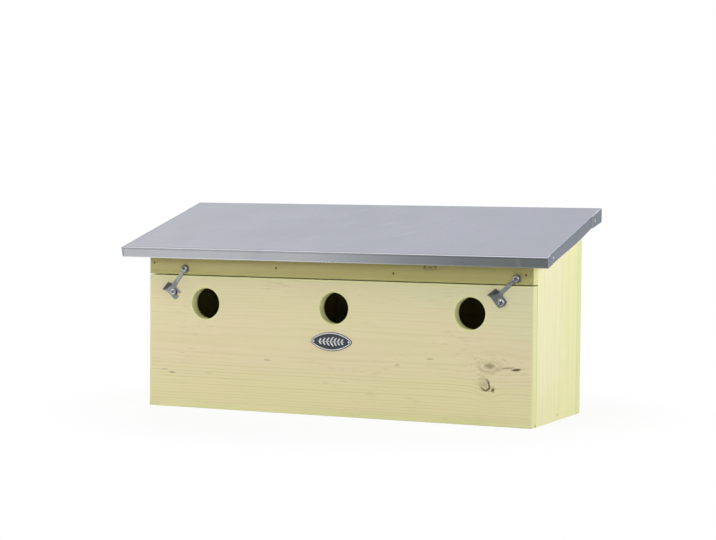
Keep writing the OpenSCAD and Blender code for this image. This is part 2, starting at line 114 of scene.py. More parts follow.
class Bench:
    """Lays out one node tree; most calls add a node and return its output socket."""

    def __init__(self, tree: bpy.types.NodeTree) -> None:
        """Work on a tree.

        Args:
            tree: The material's or group's node tree.
        """
        self.tree = tree

    def node(self, kind: str, *values: object, **settings: object) -> bpy.types.Node:
        """Add a node.

        Args:
            kind: Blender's node type.
            values: What its first inputs get.
            settings: Attributes to set on the node.

        Returns:
            The new node.
        """
        made = self.tree.nodes.new(kind)
        for key, value in settings.items():
            setattr(made, key, value)
        for socket, value in zip(made.inputs, values):
            self.feed(socket, value)
        return made

    def feed(self, socket: Socket, value: object) -> None:
        """Link a socket to an output, or set it to a constant.

        Args:
            socket: The input socket.
            value: An output socket, a number, a vector or a colour.
        """
        if isinstance(value, Socket):
            self.tree.links.new(value, socket)
        elif socket.type == "RGBA" and len(value) == 3:
            socket.default_value = (*value, 1.0)
        else:
            socket.default_value = value

    def math(self, operation: str, *values: object) -> Socket:
        """Add a Math node on one to three values and return its result."""
        return self.node("ShaderNodeMath", *values, operation=operation).outputs[0]

    def times(self, first: object, second: object) -> Socket:
        """Multiply two numbers."""
        return self.math("MULTIPLY", first, second)

    def vector(self, operation: str, *values: object) -> Socket:
        """Add a Vector Math node on one or two vectors and return its result."""
        made = self.node("ShaderNodeVectorMath", *values, operation=operation)
        return made.outputs["Value" if operation in ("LENGTH", "DOT_PRODUCT") else "Vector"]

    def scaled(self, vector: Socket, factor: object) -> Socket:
        """Multiply a vector by one factor.

        Args:
            vector: The vector.
            factor: The factor, a number or a socket.

        Returns:
            The scaled vector.
        """
        made = self.node("ShaderNodeVectorMath", vector, operation="SCALE")
        self.feed(made.inputs["Scale"], factor)
        return made.outputs[0]

    def stretch(self, vector: Socket, factors: Point) -> Socket:
        """Multiply a vector's parts by three factors."""
        return self.vector("MULTIPLY", vector, factors)

    def in_face(self, spot: Socket, centre: object) -> Socket:
        """Return the way from a centre to a spot, flat in XZ."""
        return self.stretch(self.vector("SUBTRACT", spot, centre), IN_FACE)

    def split(self, vector: Socket) -> tuple[Socket, ...]:
        """Return a vector's three parts."""
        return tuple(self.node("ShaderNodeSeparateXYZ", vector).outputs)

    def join(self, x: object, y: object, z: object) -> Socket:
        """Return a vector made of three parts."""
        return self.node("ShaderNodeCombineXYZ", x, y, z).outputs[0]

    def noise_node(self, vector: Socket, scale: float, detail: float) -> bpy.types.Node:
        """Add a noise texture.

        Args:
            vector: Where to read it.
            scale: Waves for each metre.
            detail: Octaves.

        Returns:
            The node, whose first output is the value and whose second is the colour.
        """
        made = self.node("ShaderNodeTexNoise", vector)
        self.feed(made.inputs["Scale"], scale)
        self.feed(made.inputs["Detail"], detail)
        return made

    def noise(self, vector: Socket, scale: float, detail: float) -> Socket:
        """Return noise from 0 to 1, with as many waves for each metre as scale says."""
        return self.noise_node(vector, scale, detail).outputs[0]

    def drawn(self, vector: Socket, waves: Point, detail: float) -> Socket:
        """Return noise from 0 to 1 with its own number of waves along each axis."""
        return self.noise(self.stretch(vector, waves), 1.0, detail)

    def shake(self, vector: Socket, waves: Point, detail: float) -> Socket:
        """Return noise as a vector round zero, with its own waves along each axis."""
        made = self.noise_node(self.stretch(vector, waves), 1.0, detail)
        return self.vector("SUBTRACT", made.outputs[1], (0.5, 0.5, 0.5))

    def span(self, value: Socket, low: object, high: object, bottom: float = 0.0,
             top: float = 1.0) -> Socket:
        """Map a value from low..high to bottom..top along a smooth step."""
        return self.node("ShaderNodeMapRange", value, low, high, bottom, top,
                         interpolation_type="SMOOTHSTEP").outputs[0]

    def mix(self, share: object, first: object, second: object) -> Socket:
        """Mix two colours.

        Args:
            share: 0 for the first colour only, 1 for the second only.
            first: The first colour.
            second: The second colour.

        Returns:
            The mixed colour.
        """
        made = self.node("ShaderNodeMix", share, data_type="RGBA")
        self.feed(made.inputs[6], first)
        self.feed(made.inputs[7], second)
        return made.outputs[2]

    def over(self, colour: Socket, tint: object, mask: Socket, weight: float) -> Socket:
        """Lay a tint over a colour where a mask says, at a weight."""
        return self.mix(self.times(mask, weight), colour, tint)

    def turned(self, vector: Socket, angle: object, axis: str = "Y_AXIS") -> Socket:
        """Turn a vector about an axis.

        Args:
            vector: The vector.
            angle: The angle in radians.
            axis: Blender's name of the axis.

        Returns:
            The turned vector.
        """
        made = self.node("ShaderNodeVectorRotate", vector, rotation_type=axis)
        self.feed(made.inputs["Angle"], angle)
        return made.outputs[0]

    def oval_reach(self, inp: dict[str, Socket], scale: float, uneven: float) -> Socket:
        """Measure how far out of an oval in XZ a place is, 1 on the oval's edge.

        Args:
            inp: The sockets Vector, Centre, Tilt, and Long and High for the half sizes.
            scale: Waves for each metre of the noise that roughens the edge.
            uneven: How much that noise adds at most, from half below zero to half above.

        Returns:
            The reach.
        """
        spun = self.turned(self.in_face(inp["Vector"], inp["Centre"]), inp["Tilt"])
        sized = self.vector("DIVIDE", spun, self.join(inp["Long"], 1.0, inp["High"]))
        rough = self.noise(inp["Vector"], scale, 2.0)
        return self.math("ADD", self.vector("LENGTH", sized),
                         self.math("MULTIPLY_ADD", rough, uneven, -uneven / 2))

    def bump(self, shader: bpy.types.Node, height: Socket, strength: float,
             distance: float) -> None:
        """Bend a shader's normal by a height.

        Args:
            shader: The shader.
            height: The height, of which 1 stands the distance tall.
            strength: How much the bend counts, up to 1.
            distance: How tall a height of 1 is.
        """
        made = self.node("ShaderNodeBump", strength)
        self.feed(made.inputs["Distance"], distance)
        self.feed(made.inputs["Height"], height)
        self.feed(shader.inputs["Normal"], made.outputs[0])

    def seen(self) -> Socket:
        """Return 1 on rays from the camera and in reflections."""
        ray = self.node("ShaderNodeLightPath").outputs
        return self.math("MAXIMUM", ray["Is Camera Ray"], ray["Is Glossy Ray"])

    def place(self, group: bpy.types.NodeTree, **values: object) -> bpy.types.Node:
        """Place a node group.

        Args:
            group: The group.
            values: Its inputs by name, with underscores for spaces.

        Returns:
            The group's node.
        """
        made = self.node("ShaderNodeGroup", node_tree=group)
        for key, value in values.items():
            self.feed(made.inputs[key.replace("_", " ")], value)
        return made


def new_group(
    name: str, inputs: dict[str, object], *outputs: str
) -> tuple[bpy.types.NodeTree, Bench, dict[str, Socket], bpy.types.Node]:
    """Start a shader node group with named sockets.

    Args:
        name: The group's name.
        inputs: Each input's name and its default, a number or three of them.
        outputs: The outputs' names. One named Vector is a vector, the rest are numbers.

    Returns:
        The group, its bench, its inputs by name, and the node that takes its outputs.
    """
    tree = bpy.data.node_groups.new(name, "ShaderNodeTree")
    for label, default in inputs.items():
        kind = "NodeSocketFloat" if isinstance(default, float) else "NodeSocketVector"
        socket = tree.interface.new_socket(label, in_out="INPUT", socket_type=kind)
        socket.default_value = default
    for label in outputs:
        kind = "NodeSocketVector" if label == "Vector" else "NodeSocketFloat"
        tree.interface.new_socket(label, in_out="OUTPUT", socket_type=kind)
    bench = Bench(tree)
    entry = bench.node("NodeGroupInput")
    leave = bench.node("NodeGroupOutput")
    return tree, bench, {key: entry.outputs[key] for key in inputs}, leave


# ---------------------------------------------------------------- shared effects


@dataclass(frozen=True)
class Effects:
    """The node groups that the finishes share."""

    figure: bpy.types.NodeTree
    knot: bpy.types.NodeTree
    fleck: bpy.types.NodeTree
    stain: bpy.types.NodeTree
    bore: bpy.types.NodeTree
    ends: bpy.types.NodeTree
    handling: bpy.types.NodeTree
    bends: bpy.types.NodeTree
    hollows: bpy.types.NodeTree
    folds: bpy.types.NodeTree

    @classmethod
    def build(cls) -> Effects:
        """Build every group once and return them."""
        return cls(pine_figure(), knot_group(), fleck_group(), stain_group(), bore_group(),
                   soaked_ends(), metal_handling(), bend_group(), hollow_group(),
                   fold_group())


def pine_figure() -> bpy.types.NodeTree:
    """Growth rings round a heart line along local X, with fibres and slow tints.

    A ring's phase is the distance from the heart line over the ring's width. Slow noise
    wanders the place first, and the late wood darkens up to the end of each ring. Streaks
    are short strokes where noise drawn out along X is high.

    Returns:
        The group: Vector, Heart, Ring Width and Wander in; Rings, Fibre, Tint and Streaks
        out.
    """
    group, b, inp, out = new_group(
        "pine_figure",
        {"Vector": ORIGIN, "Heart": ORIGIN, "Ring Width": 0.0037, "Wander": 0.004},
        "Rings", "Fibre", "Tint", "Streaks",
    )
    slow = b.shake(inp["Vector"], (3.2, 13.0, 13.0), 1.5)
    ripple = b.shake(inp["Vector"], (26.0, 120.0, 120.0), 2.0)
    drift = b.vector("ADD", slow, b.scaled(ripple, 0.07))
    place = b.vector("ADD", inp["Vector"], b.scaled(drift, inp["Wander"]))
    off = b.stretch(b.vector("SUBTRACT", place, inp["Heart"]), (0.0, 1.0, 1.0))
    reach = b.vector("LENGTH", off)
    uneven = b.noise(b.join(reach, 0.0, 0.0), 70.0, 2.0)
    turns = b.math("MULTIPLY_ADD", uneven, 1.5, b.math("DIVIDE", reach, inp["Ring Width"]))
    phase = b.math("FRACT", turns)
    year = b.node("ShaderNodeTexWhiteNoise", noise_dimensions="1D")
    b.feed(year.inputs["W"], b.math("FLOOR", turns))
    strength = b.math("MULTIPLY_ADD", year.outputs[0], 0.6, 0.4)
    late = b.times(b.span(phase, 0.42, 0.88), b.span(phase, 1.0, 0.92))
    broken = b.drawn(inp["Vector"], (9.0, 160.0, 160.0), 1.0)
    strength = b.times(strength, b.span(broken, 0.25, 0.6, 0.35, 1.0))
    b.feed(out.inputs["Rings"], b.times(late, strength))
    fibre = b.drawn(inp["Vector"], (22.0, 700.0, 700.0), 3.0)
    b.feed(out.inputs["Fibre"], b.span(fibre, 0.3, 0.7))
    tint = b.drawn(inp["Vector"], (9.0, 24.0, 24.0), 2.0)
    b.feed(out.inputs["Tint"], b.span(tint, 0.36, 0.64))
    stroke = b.drawn(place, (55.0, 520.0, 520.0), 2.0)
    where = b.drawn(inp["Vector"], (8.0, 30.0, 30.0), 1.0)
    b.feed(out.inputs["Streaks"], b.times(b.span(stroke, 0.6, 0.74), b.span(where, 0.46, 0.62)))
    return group


def knot_group() -> bpy.types.NodeTree:
    """A knot in a face that lies in XZ: rings bow round it, with a core and a bark rim.

    The reach is the length of the turned place over the knot's half sizes. The place is
    drawn towards the knot's line by a bell of the reach, so that rings part round it, and
    thin rings of its own fade out round it.

    Returns:
        The group, whose Rim is heavier towards the Heavy direction.
    """
    group, b, inp, out = new_group(
        "knot",
        {"Vector": ORIGIN, "Centre": ORIGIN, "Long": 0.006, "High": 0.005,
         "Tilt": 0.0, "Pith": 0.75, "Heavy": (0.0, 0.0, -1.0)},
        "Vector", "Core", "Rim", "Halo",
    )
    away = b.in_face(inp["Vector"], inp["Centre"])
    reach = b.oval_reach(inp, 420.0, 0.7)
    bell = b.math("EXPONENT", b.times(b.times(reach, reach), -0.2))
    pull = b.times(bell, -0.8)
    drawn = b.scaled(b.stretch(away, (0.0, 0.0, 1.0)), pull)
    b.feed(out.inputs["Vector"], b.vector("ADD", inp["Vector"], drawn))
    b.feed(out.inputs["Core"], b.span(reach, inp["Pith"], b.times(inp["Pith"], 0.15)))
    turns = b.math("FRACT", b.times(reach, 2.1))
    lines = b.times(b.span(turns, 0.35, 0.85), b.span(turns, 1.0, 0.9))
    fade = b.times(b.span(reach, 0.5, 1.0), b.span(reach, 3.2, 1.2))
    patchy = b.drawn(inp["Vector"], (90.0, 90.0, 260.0), 1.0)
    fade = b.times(fade, b.span(patchy, 0.35, 0.65))
    b.feed(out.inputs["Halo"], b.times(lines, fade))
    side = b.vector("DOT_PRODUCT", b.vector("NORMALIZE", away), inp["Heavy"])
    band = b.times(b.span(reach, 0.7, 0.92), b.span(reach, 1.3, 1.08))
    b.feed(out.inputs["Rim"], b.times(band, b.span(side, -0.75, 0.5, 0.15, 1.0)))
    return group


def fleck_group() -> bpy.types.NodeTree:
    """A short dark streak in a face that lies in XZ: an oval mask with a soft, rough edge.

    Returns:
        The group.
    """
    group, b, inp, out = new_group(
        "fleck",
        {"Vector": ORIGIN, "Centre": ORIGIN, "Long": 0.005, "High": 0.0008, "Tilt": 0.0},
        "Mask",
    )
    b.feed(out.inputs["Mask"], b.span(b.oval_reach(inp, 700.0, 0.9), 1.1, 0.4))
    return group


def stain_group() -> bpy.types.NodeTree:
    """A stain that grows along a direction from Start to Full, with a noisy border.

    Returns:
        The group.
    """
    group, b, inp, out = new_group(
        "stain",
        {"Vector": ORIGIN, "Towards": (0.0, 0.0, -1.0), "Start": 0.0, "Full": 0.01,
         "Border": 0.01},
        "Mask",
    )
    rough = b.drawn(inp["Vector"], (8.0, 30.0, 60.0), 2.0)
    along = b.vector("DOT_PRODUCT", inp["Vector"], inp["Towards"])
    place = b.math("MULTIPLY_ADD", b.math("SUBTRACT", rough, 0.5), inp["Border"], along)
    b.feed(out.inputs["Mask"], b.span(place, inp["Start"], inp["Full"]))
    return group


def bore_group() -> bpy.types.NodeTree:
    """Round a bore along Y: its wall, and a ring of the face that fades out at Reach.

    Both follow the distance from the bore's axis.

    Returns:
        The group.
    """
    group, b, inp, out = new_group(
        "bore",
        {"Vector": ORIGIN, "Centre": ORIGIN, "Radius": 0.018, "Reach": 0.006},
        "Wall", "Ring",
    )
    away = b.in_face(inp["Vector"], inp["Centre"])
    past = b.math("SUBTRACT", b.vector("LENGTH", away), inp["Radius"])
    b.feed(out.inputs["Wall"], b.span(past, 0.7 * MM, 0.0))
    rough = b.noise(inp["Vector"], 120.0, 2.0)
    border = b.times(inp["Reach"], b.math("MULTIPLY_ADD", rough, 1.2, 0.4))
    b.feed(out.inputs["Ring"], b.span(b.math("DIVIDE", past, border), 1.0, 0.0))
    return group


def soaked_ends() -> bpy.types.NodeTree:
    """Where a board has drunk more of its treatment: near the sides of its own box.

    The mask falls from 1 on the box to 0 at Reach inside it, with a noisy border.

    Returns:
        The group.
    """
    group, b, inp, out = new_group(
        "soaked_ends",
        {"Vector": ORIGIN, "Middle": ORIGIN, "Half": (0.2, 0.2, 0.2), "Reach": 0.008},
        "Mask",
    )
    away = b.vector("ABSOLUTE", b.vector("SUBTRACT", inp["Vector"], inp["Middle"]))
    depth = b.split(b.vector("SUBTRACT", inp["Half"], away))
    nearest = b.math("MINIMUM", b.math("MINIMUM", depth[0], depth[1]), depth[2])
    rough = b.noise(inp["Vector"], 60.0, 3.0)
    border = b.times(inp["Reach"], b.math("MULTIPLY_ADD", rough, 1.4, 0.3))
    share = b.math("DIVIDE", nearest, border)
    b.feed(out.inputs["Mask"], b.span(share, 1.0, 0.0))
    return group


def metal_handling() -> bpy.types.NodeTree:
    """Marks of handling on bare metal: dull clouds, wiped smudges, scratches and dents.

    Clouds are slow noise, smudges are noise drawn out along a slant and cut high, scratches
    are thin bands of noise far drawn out, and dents are slow noise for the bump.

    Returns:
        The group.
    """
    group, b, inp, out = new_group(
        "metal_handling",
        {"Vector": ORIGIN, "Slant": 0.5},
        "Clouds", "Smudges", "Scratches", "Dents",
    )
    clouds = b.noise(inp["Vector"], 16.0, 4.0)
    b.feed(out.inputs["Clouds"], b.span(clouds, 0.3, 0.7))
    slanted = b.turned(inp["Vector"], inp["Slant"], "Z_AXIS")
    wiped = b.drawn(slanted, (24.0, 130.0, 24.0), 1.0)
    where = b.noise(inp["Vector"], 9.0, 1.0)
    b.feed(out.inputs["Smudges"], b.times(b.span(wiped, 0.6, 0.75), b.span(where, 0.52, 0.62)))
    fine = b.drawn(slanted, (9.0, 330.0, 9.0), 0.0)
    b.feed(out.inputs["Scratches"], b.times(b.span(fine, 0.7, 0.8), b.span(clouds, 0.45, 0.6)))
    b.feed(out.inputs["Dents"], b.noise(inp["Vector"], 24.0, 1.0))
    return group


def bend_group() -> bpy.types.NodeTree:
    """Where a sheet with square faces bends: no part of the normal stands out. A painted
    highlight goes there.

    The mask grows as the largest part of the object's own normal falls below 0.95.

    Returns:
        The group.
    """
    group, b, inp, out = new_group(
        "bend_sheen", {"Normal": (0.0, 0.0, 1.0)}, "Mask")
    x, y, z = b.split(b.vector("ABSOLUTE", inp["Normal"]))
    largest = b.math("MAXIMUM", b.math("MAXIMUM", x, y), z)
    b.feed(out.inputs["Mask"], b.span(largest, 0.95, 0.85))
    return group


def hollow_group() -> bpy.types.NodeTree:
    """How far behind a screw's crown the surface lies, along Y: painted shade in its low places.

    Returns:
        The group, whose mask grows from Start to Full behind the Crown.
    """
    group, b, inp, out = new_group(
        "hollows",
        {"Vector": ORIGIN, "Crown": 0.0, "Start": 0.0007, "Full": 0.0013},
        "Mask",
    )
    depth = b.math("SUBTRACT", b.split(inp["Vector"])[1], inp["Crown"])
    b.feed(out.inputs["Mask"], b.span(depth, inp["Start"], inp["Full"]))
    return group


def fold_group() -> bpy.types.NodeTree:
    """Lines along a folded sheet: painted shade beside its bends and a painted highlight on a
    cut edge.

    All are thin bands of the distance from the corner where the left side, the front and
    the foot of the front fold meet. The painted shade runs under the front bend, before it on
    the top face, and along the left edge; the painted highlight runs along the lower cut edge.

    Returns:
        The group.
    """
    group, b, inp, out = new_group(
        "fold_lines",
        {"Vector": ORIGIN, "Normal": (0.0, 0.0, 1.0), "Corner": ORIGIN, "Height": 0.01},
        "Painted Shade", "Lip",
    )
    x, y, z = b.split(b.vector("SUBTRACT", inp["Vector"], inp["Corner"]))
    front = b.span(b.vector("DOT_PRODUCT", inp["Normal"], (0.0, -1.0, 0.0)), 0.7, 0.9)
    top = b.span(b.vector("DOT_PRODUCT", inp["Normal"], (0.0, 0.0, 1.0)), 0.85, 0.95)
    below = b.math("SUBTRACT", inp["Height"], z)
    line = b.times(b.span(below, 0.8 * MM, 1.2 * MM), b.span(below, 2.8 * MM, 1.8 * MM))
    end = b.span(x, 3.2 * MM, 1.6 * MM)
    before = b.times(b.span(y, 6.0 * MM, 2.0 * MM), 0.7)
    ahead = b.times(front, b.math("MAXIMUM", line, end))
    above = b.times(top, b.math("MAXIMUM", before, end))
    b.feed(out.inputs["Painted Shade"], b.math("MAXIMUM", ahead, above))
    b.feed(out.inputs["Lip"], b.times(front, b.span(z, 1.3 * MM, 0.7 * MM)))
    return group


# ---------------------------------------------------------------- finishes


# Shares of the late wood's tint in the fibres, and of the treatment in soaked ends
FIBRE_SHARE = 0.16
SOAKED_SHARE = 0.65

# How much brighter than its bright colour a metal is where it is wiped or scratched, and in
# the painted highlights on cut edges and on bends, and how much darker in the painted shade
# beside its bends
PALE_GAIN = 1.25
LIP_GAIN = 1.6
BEND_GAIN = 1.9
PAINTED_SHADE_GAIN = 0.62


class Grain(Enum):
    """Which way a board's fibres run."""

    ALONG = "along X"
    UPRIGHT = "up Z"


@dataclass(frozen=True)
class Knot:
    """A knot in a front face."""

    centre: Point
    long: float
    high: float
    tilt: float
    core: float
    rim: float
    heavy: Point = (0.0, 0.0, -1.0)
    halo: float = 0.5
    pith: float = 0.75

    def place(self, b: Bench, effects: Effects, spot: Socket) -> bpy.types.Node:
        """Place the knot's group at a spot and return its node."""
        return b.place(effects.knot, Vector=spot, Centre=self.centre, Long=self.long,
                       High=self.high, Tilt=self.tilt, Heavy=self.heavy, Pith=self.pith)


@dataclass(frozen=True)
class Fleck:
    """A short dark streak in a front face."""

    centre: Point
    long: float
    high: float
    tilt: float = 0.0
    weight: float = 0.4

    def mask(self, b: Bench, effects: Effects, spot: Socket) -> Socket:
        """Place the fleck's group at a spot and return its mask."""
        return b.place(effects.fleck, Vector=spot, Centre=self.centre, Long=self.long,
                       High=self.high, Tilt=self.tilt).outputs[0]


@dataclass(frozen=True)
class Stain:
    """A tint that grows along a direction."""

    towards: Point
    start: float
    full: float
    tint: Colour
    weight: float
    border: float = 0.02

    def mask(self, b: Bench, effects: Effects, spot: Socket) -> Socket:
        """Place the stain's group at a spot and return its mask."""
        return b.place(effects.stain, Vector=spot, Towards=self.towards, Start=self.start,
                       Full=self.full, Border=self.border).outputs[0]


@dataclass(frozen=True)
class Bore:
    """A bore along Y with soaked end grain."""

    centre: Point
    radius: float
    reach: float = 0.006


@dataclass(frozen=True)
class Pine:
    """Planed and pressure-treated pine.

    The three numbers of calm are the two heights between which the rings fade, and the
    share of their contrast that they lose.
    """

    name: str
    grain: Grain = Grain.ALONG
    early: Colour = (0.69, 0.62, 0.395)
    late: Colour = (0.585, 0.525, 0.275)
    warm: Colour = (0.692, 0.605, 0.4)
    soaked: Colour = (0.56, 0.55, 0.235)
    heart: Point = (0.0, -0.03, 0.07)
    ring: float = 0.0037
    wander: float = 0.006
    contrast: float = 0.55
    calm: tuple[float, float, float] = (1.0, 2.0, 0.0)
    reach: float = 0.006
    streaks: float = 0.3
    knots: tuple[Knot, ...] = ()
    flecks: tuple[Fleck, ...] = ()
    stains: tuple[Stain, ...] = ()
    bores: tuple[Bore, ...] = ()
    bark: Colour = (0.055, 0.04, 0.025)
    core: Colour = (0.2, 0.15, 0.085)
    stroke: Colour = (0.4, 0.34, 0.18)
    wall: Colour = (0.82, 0.83, 0.45)
    unshaded_end: Colour | None = None

    def make(self, effects: Effects, low: Vector, high: Vector) -> Material:
        """Build the material for a board.

        Args:
            effects: The shared node groups.
            low: The board's lowest corner.
            high: The board's highest corner.

        Returns:
            The material.
        """
        material, b, shader = start_material(self.name)
        where = b.node("ShaderNodeTexCoord")
        spot = where.outputs["Object"]
        place = b.turned(spot, math.pi / 2) if self.grain is Grain.UPRIGHT else spot
        knots = [knot.place(b, effects, spot) for knot in self.knots]
        for knot in knots:
            place = b.vector("ADD", place, b.vector("SUBTRACT", knot.outputs["Vector"], spot))
        figure = b.place(effects.figure, Vector=place, Heart=self.heart, Ring_Width=self.ring,
                         Wander=self.wander)
        rings, fibre = figure.outputs["Rings"], figure.outputs["Fibre"]
        colour = b.mix(figure.outputs["Tint"], self.early, self.warm)
        for stain in self.stains:
            colour = b.over(colour, stain.tint, stain.mask(b, effects, spot), stain.weight)
        start, full, loss = self.calm
        kept = b.span(b.split(spot)[2], start, full, self.contrast, self.contrast * (1 - loss))
        darker = b.math("MULTIPLY_ADD", fibre, FIBRE_SHARE, b.times(rings, kept))
        colour = b.mix(b.math("MINIMUM", darker, 1.0), colour, self.late)
        colour = b.over(colour, self.stroke, figure.outputs["Streaks"], self.streaks)
        ends = b.place(effects.ends, Vector=spot, Middle=tuple((low + high) / 2),
                       Half=rim_reach(high - low), Reach=self.reach)
        colour = b.over(colour, self.soaked, ends.outputs[0], SOAKED_SHARE)
        # Where a board's faces are darkened as painted shade, its ends that face X keep the
        # unshaded colour
        if self.unshaded_end is not None:
            facing = b.math("ABSOLUTE", b.split(where.outputs["Normal"])[0])
            colour = b.mix(b.span(facing, 0.4, 0.8), colour, self.unshaded_end)
        for mask, weight, tint in self.marks(b, effects, spot, knots):
            colour = b.over(colour, tint, mask, weight)
        b.feed(shader.inputs["Base Color"], colour)
        b.feed(shader.inputs["Roughness"], b.math("MULTIPLY_ADD", rings, -0.08, 0.66))
        b.feed(shader.inputs["Specular IOR Level"], 0.3)
        b.bump(shader, b.math("MULTIPLY_ADD", fibre, -0.4, b.times(rings, 0.7)), 0.35,
               0.12 * MM)
        return material

    def marks(self, b: Bench, effects: Effects, spot: Socket,
              knots: list[bpy.types.Node]) -> list[tuple[Socket, float, Colour]]:
        """List what lies on top of the figure: soaked rings and lighter walls of the bores,
        knots and flecks.

        Args:
            b: The material's bench.
            effects: The shared node groups.
            spot: The place on the board.
            knots: The placed groups of the board's knots.

        Returns:
            Masks, each with its weight and colour, in the order in which they are laid.
        """
        laid: list[tuple[Socket, float, Colour]] = []
        for bore in self.bores:
            made = b.place(effects.bore, Vector=spot, Centre=bore.centre, Radius=bore.radius,
                           Reach=bore.reach)
            laid.append((made.outputs["Ring"], 0.45, self.soaked))
            # The yellow-green wall colour is lighter than the board: treated end grain, made
            # lighter as painted light
            laid.append((made.outputs["Wall"], 0.9, self.wall))
        for knot, made in zip(self.knots, knots):
            laid.append((made.outputs["Halo"], knot.halo, self.stroke))
            laid.append((made.outputs["Core"], knot.core, self.core))
            laid.append((made.outputs["Rim"], knot.rim, self.bark))
        for fleck in self.flecks:
            laid.append((fleck.mask(b, effects, spot), fleck.weight, self.bark))
        return laid


@dataclass(frozen=True)
class Fold:
    """Where a sheet's front fold lies: its lower left front corner, and its height."""

    corner: Point
    height: float


@dataclass(frozen=True)
class Metal:
    """Bare or plated metal with marks of handling, and painted highlights and painted shade
    where asked.
    """

    name: str
    bright: Colour
    dull: Colour
    roughness: float = 0.35
    clouds: float = 0.5
    smudges: float = 0.0
    scratches: float = 0.3
    dent_depth: float = 0.0
    metallic: float = 1.0
    zoom: float = 1.0
    slant: float = 0.5
    bend_shine: float = 0.0
    wipes: tuple[Fleck, ...] = ()
    wipe_and_highlight_gain: float = 1.25
    upright: bool = False
    fold: Fold | None = None
    crown: float | None = None
    recess_shade: Colour = (0.05, 0.06, 0.06)

    def times_bright(self, gain: float) -> Colour:
        """Return the bright colour times a gain, up to white."""
        return tuple(min(1.0, gain * part) for part in self.bright)

    def make(self, effects: Effects) -> Material:
        """Build the material.

        Args:
            effects: The shared node groups.

        Returns:
            The material.
        """
        material, b, shader = start_material(self.name)
        where = b.node("ShaderNodeTexCoord")
        spot = where.outputs["Object"]
        marks = b.place(effects.handling, Vector=b.scaled(spot, self.zoom), Slant=self.slant)
        colour = b.over(self.bright, self.dull, marks.outputs["Clouds"], self.clouds)
        pale = self.times_bright(PALE_GAIN)
        colour = b.over(colour, pale, marks.outputs["Smudges"], self.smudges)
        colour = b.over(colour, pale, marks.outputs["Scratches"], self.scratches)
        x, y, z = b.split(spot)
        flat = spot if self.upright else b.join(x, z, y)
        # Wipes lighten spots: real wiped smudges on the roof, and a painted highlight on the
        # left catch's strap
        for wipe in self.wipes:
            colour = b.over(colour, self.times_bright(self.wipe_and_highlight_gain),
                            wipe.mask(b, effects, flat), wipe.weight)
        # Painted shade beside the front bend, and a painted highlight along the fold's lower cut
        # edge
        if self.fold is not None:
            lines = b.place(effects.folds, Vector=spot, Normal=where.outputs["Normal"],
                            Corner=self.fold.corner, Height=self.fold.height)
            colour = b.over(colour, self.times_bright(PAINTED_SHADE_GAIN), lines.outputs["Painted Shade"],
                            0.7)
            colour = b.over(colour, self.times_bright(LIP_GAIN), lines.outputs["Lip"], 0.8)
        # Painted highlight along the sheet's rounded bends
        if self.bend_shine:
            bends = b.place(effects.bends, Normal=where.outputs["Normal"])
            colour = b.over(colour, self.times_bright(BEND_GAIN), bends.outputs[0],
                            self.bend_shine)
        # Painted shade in the screw head's cross recess and round its skirt, deepening behind
        # the crown
        if self.crown is not None:
            hollows = b.place(effects.hollows, Vector=spot, Crown=self.crown)
            colour = b.over(colour, self.recess_shade, hollows.outputs[0], 0.85)
        b.feed(shader.inputs["Base Color"], colour)
        b.feed(shader.inputs["Metallic"], self.metallic)
        grain = b.math("MULTIPLY_ADD", marks.outputs["Clouds"], 0.1, self.roughness - 0.05)
        b.feed(shader.inputs["Roughness"],
               b.math("MULTIPLY_ADD", marks.outputs["Smudges"], 0.15, grain))
        if self.dent_depth:
            b.bump(shader, marks.outputs["Dents"], 1.0, self.dent_depth)
        return material


def rim_reach(size: Vector) -> Point:
    """Half a board's size, with its thin side put out of reach, so that only rims count.

    Args:
        size: The board's size.

    Returns:
        The half sizes.
    """
    thin = min(size)
    return tuple(1.0 if part == thin else part / 2 for part in size)


def start_material(name: str) -> tuple[Material, Bench, bpy.types.Node]:
    """Start a material.

    Args:
        name: The material's name.

    Returns:
        The material, its bench and its Principled shader.
    """
    material = bpy.data.materials.new(name)
    material.use_nodes = True
    bench = Bench(material.node_tree)
    return material, bench, material.node_tree.nodes["Principled BSDF"]


# ---------------------------------------------------------------- meshes


def link_new(name: str, data: bpy.types.ID) -> Piece:
    """Make an object and link it to the scene.

    Args:
        name: Its name.
        data: Its mesh, lamp or camera.

    Returns:
        The object.
    """
    made = bpy.data.objects.new(name, data)
    bpy.context.scene.collection.objects.link(made)
    return made


def surface(name: str, grid: np.ndarray, wrap_rows: bool, wrap_columns: bool) -> bpy.types.Mesh:
    """Make a mesh of quads from a grid of points.

    Args:
        name: The mesh's name.
        grid: Points as an array of rows, columns and three.
        wrap_rows: Whether the last row joins the first.
        wrap_columns: Whether the last column joins the first.

    Returns:
        The mesh, with repeated points merged and faces turned outwards.
    """
    rows, columns = grid.shape[:2]
    row = np.arange(rows if wrap_rows else rows - 1)[:, None]
    column = np.arange(columns if wrap_columns else columns - 1)[None, :]
    next_row, next_column = (row + 1) % rows, (column + 1) % columns
    corners = [row * columns + column, row * columns + next_column,
               next_row * columns + next_column, next_row * columns + column]
    quads = np.stack(np.broadcast_arrays(*corners), axis=-1).reshape(-1, 4)
    mesh = bpy.data.meshes.new(name)
    mesh.from_pydata(grid.reshape(-1, 3).tolist(), [], quads.tolist())
    work = bmesh.new()
    work.from_mesh(mesh)
    bmesh.ops.remove_doubles(work, verts=work.verts, dist=SAME_POINT)
    bmesh.ops.dissolve_degenerate(work, edges=work.edges, dist=NO_LENGTH)
    bmesh.ops.recalc_face_normals(work, faces=work.faces)
    work.to_mesh(mesh)
    work.free()
    mesh.shade_smooth()
    return mesh


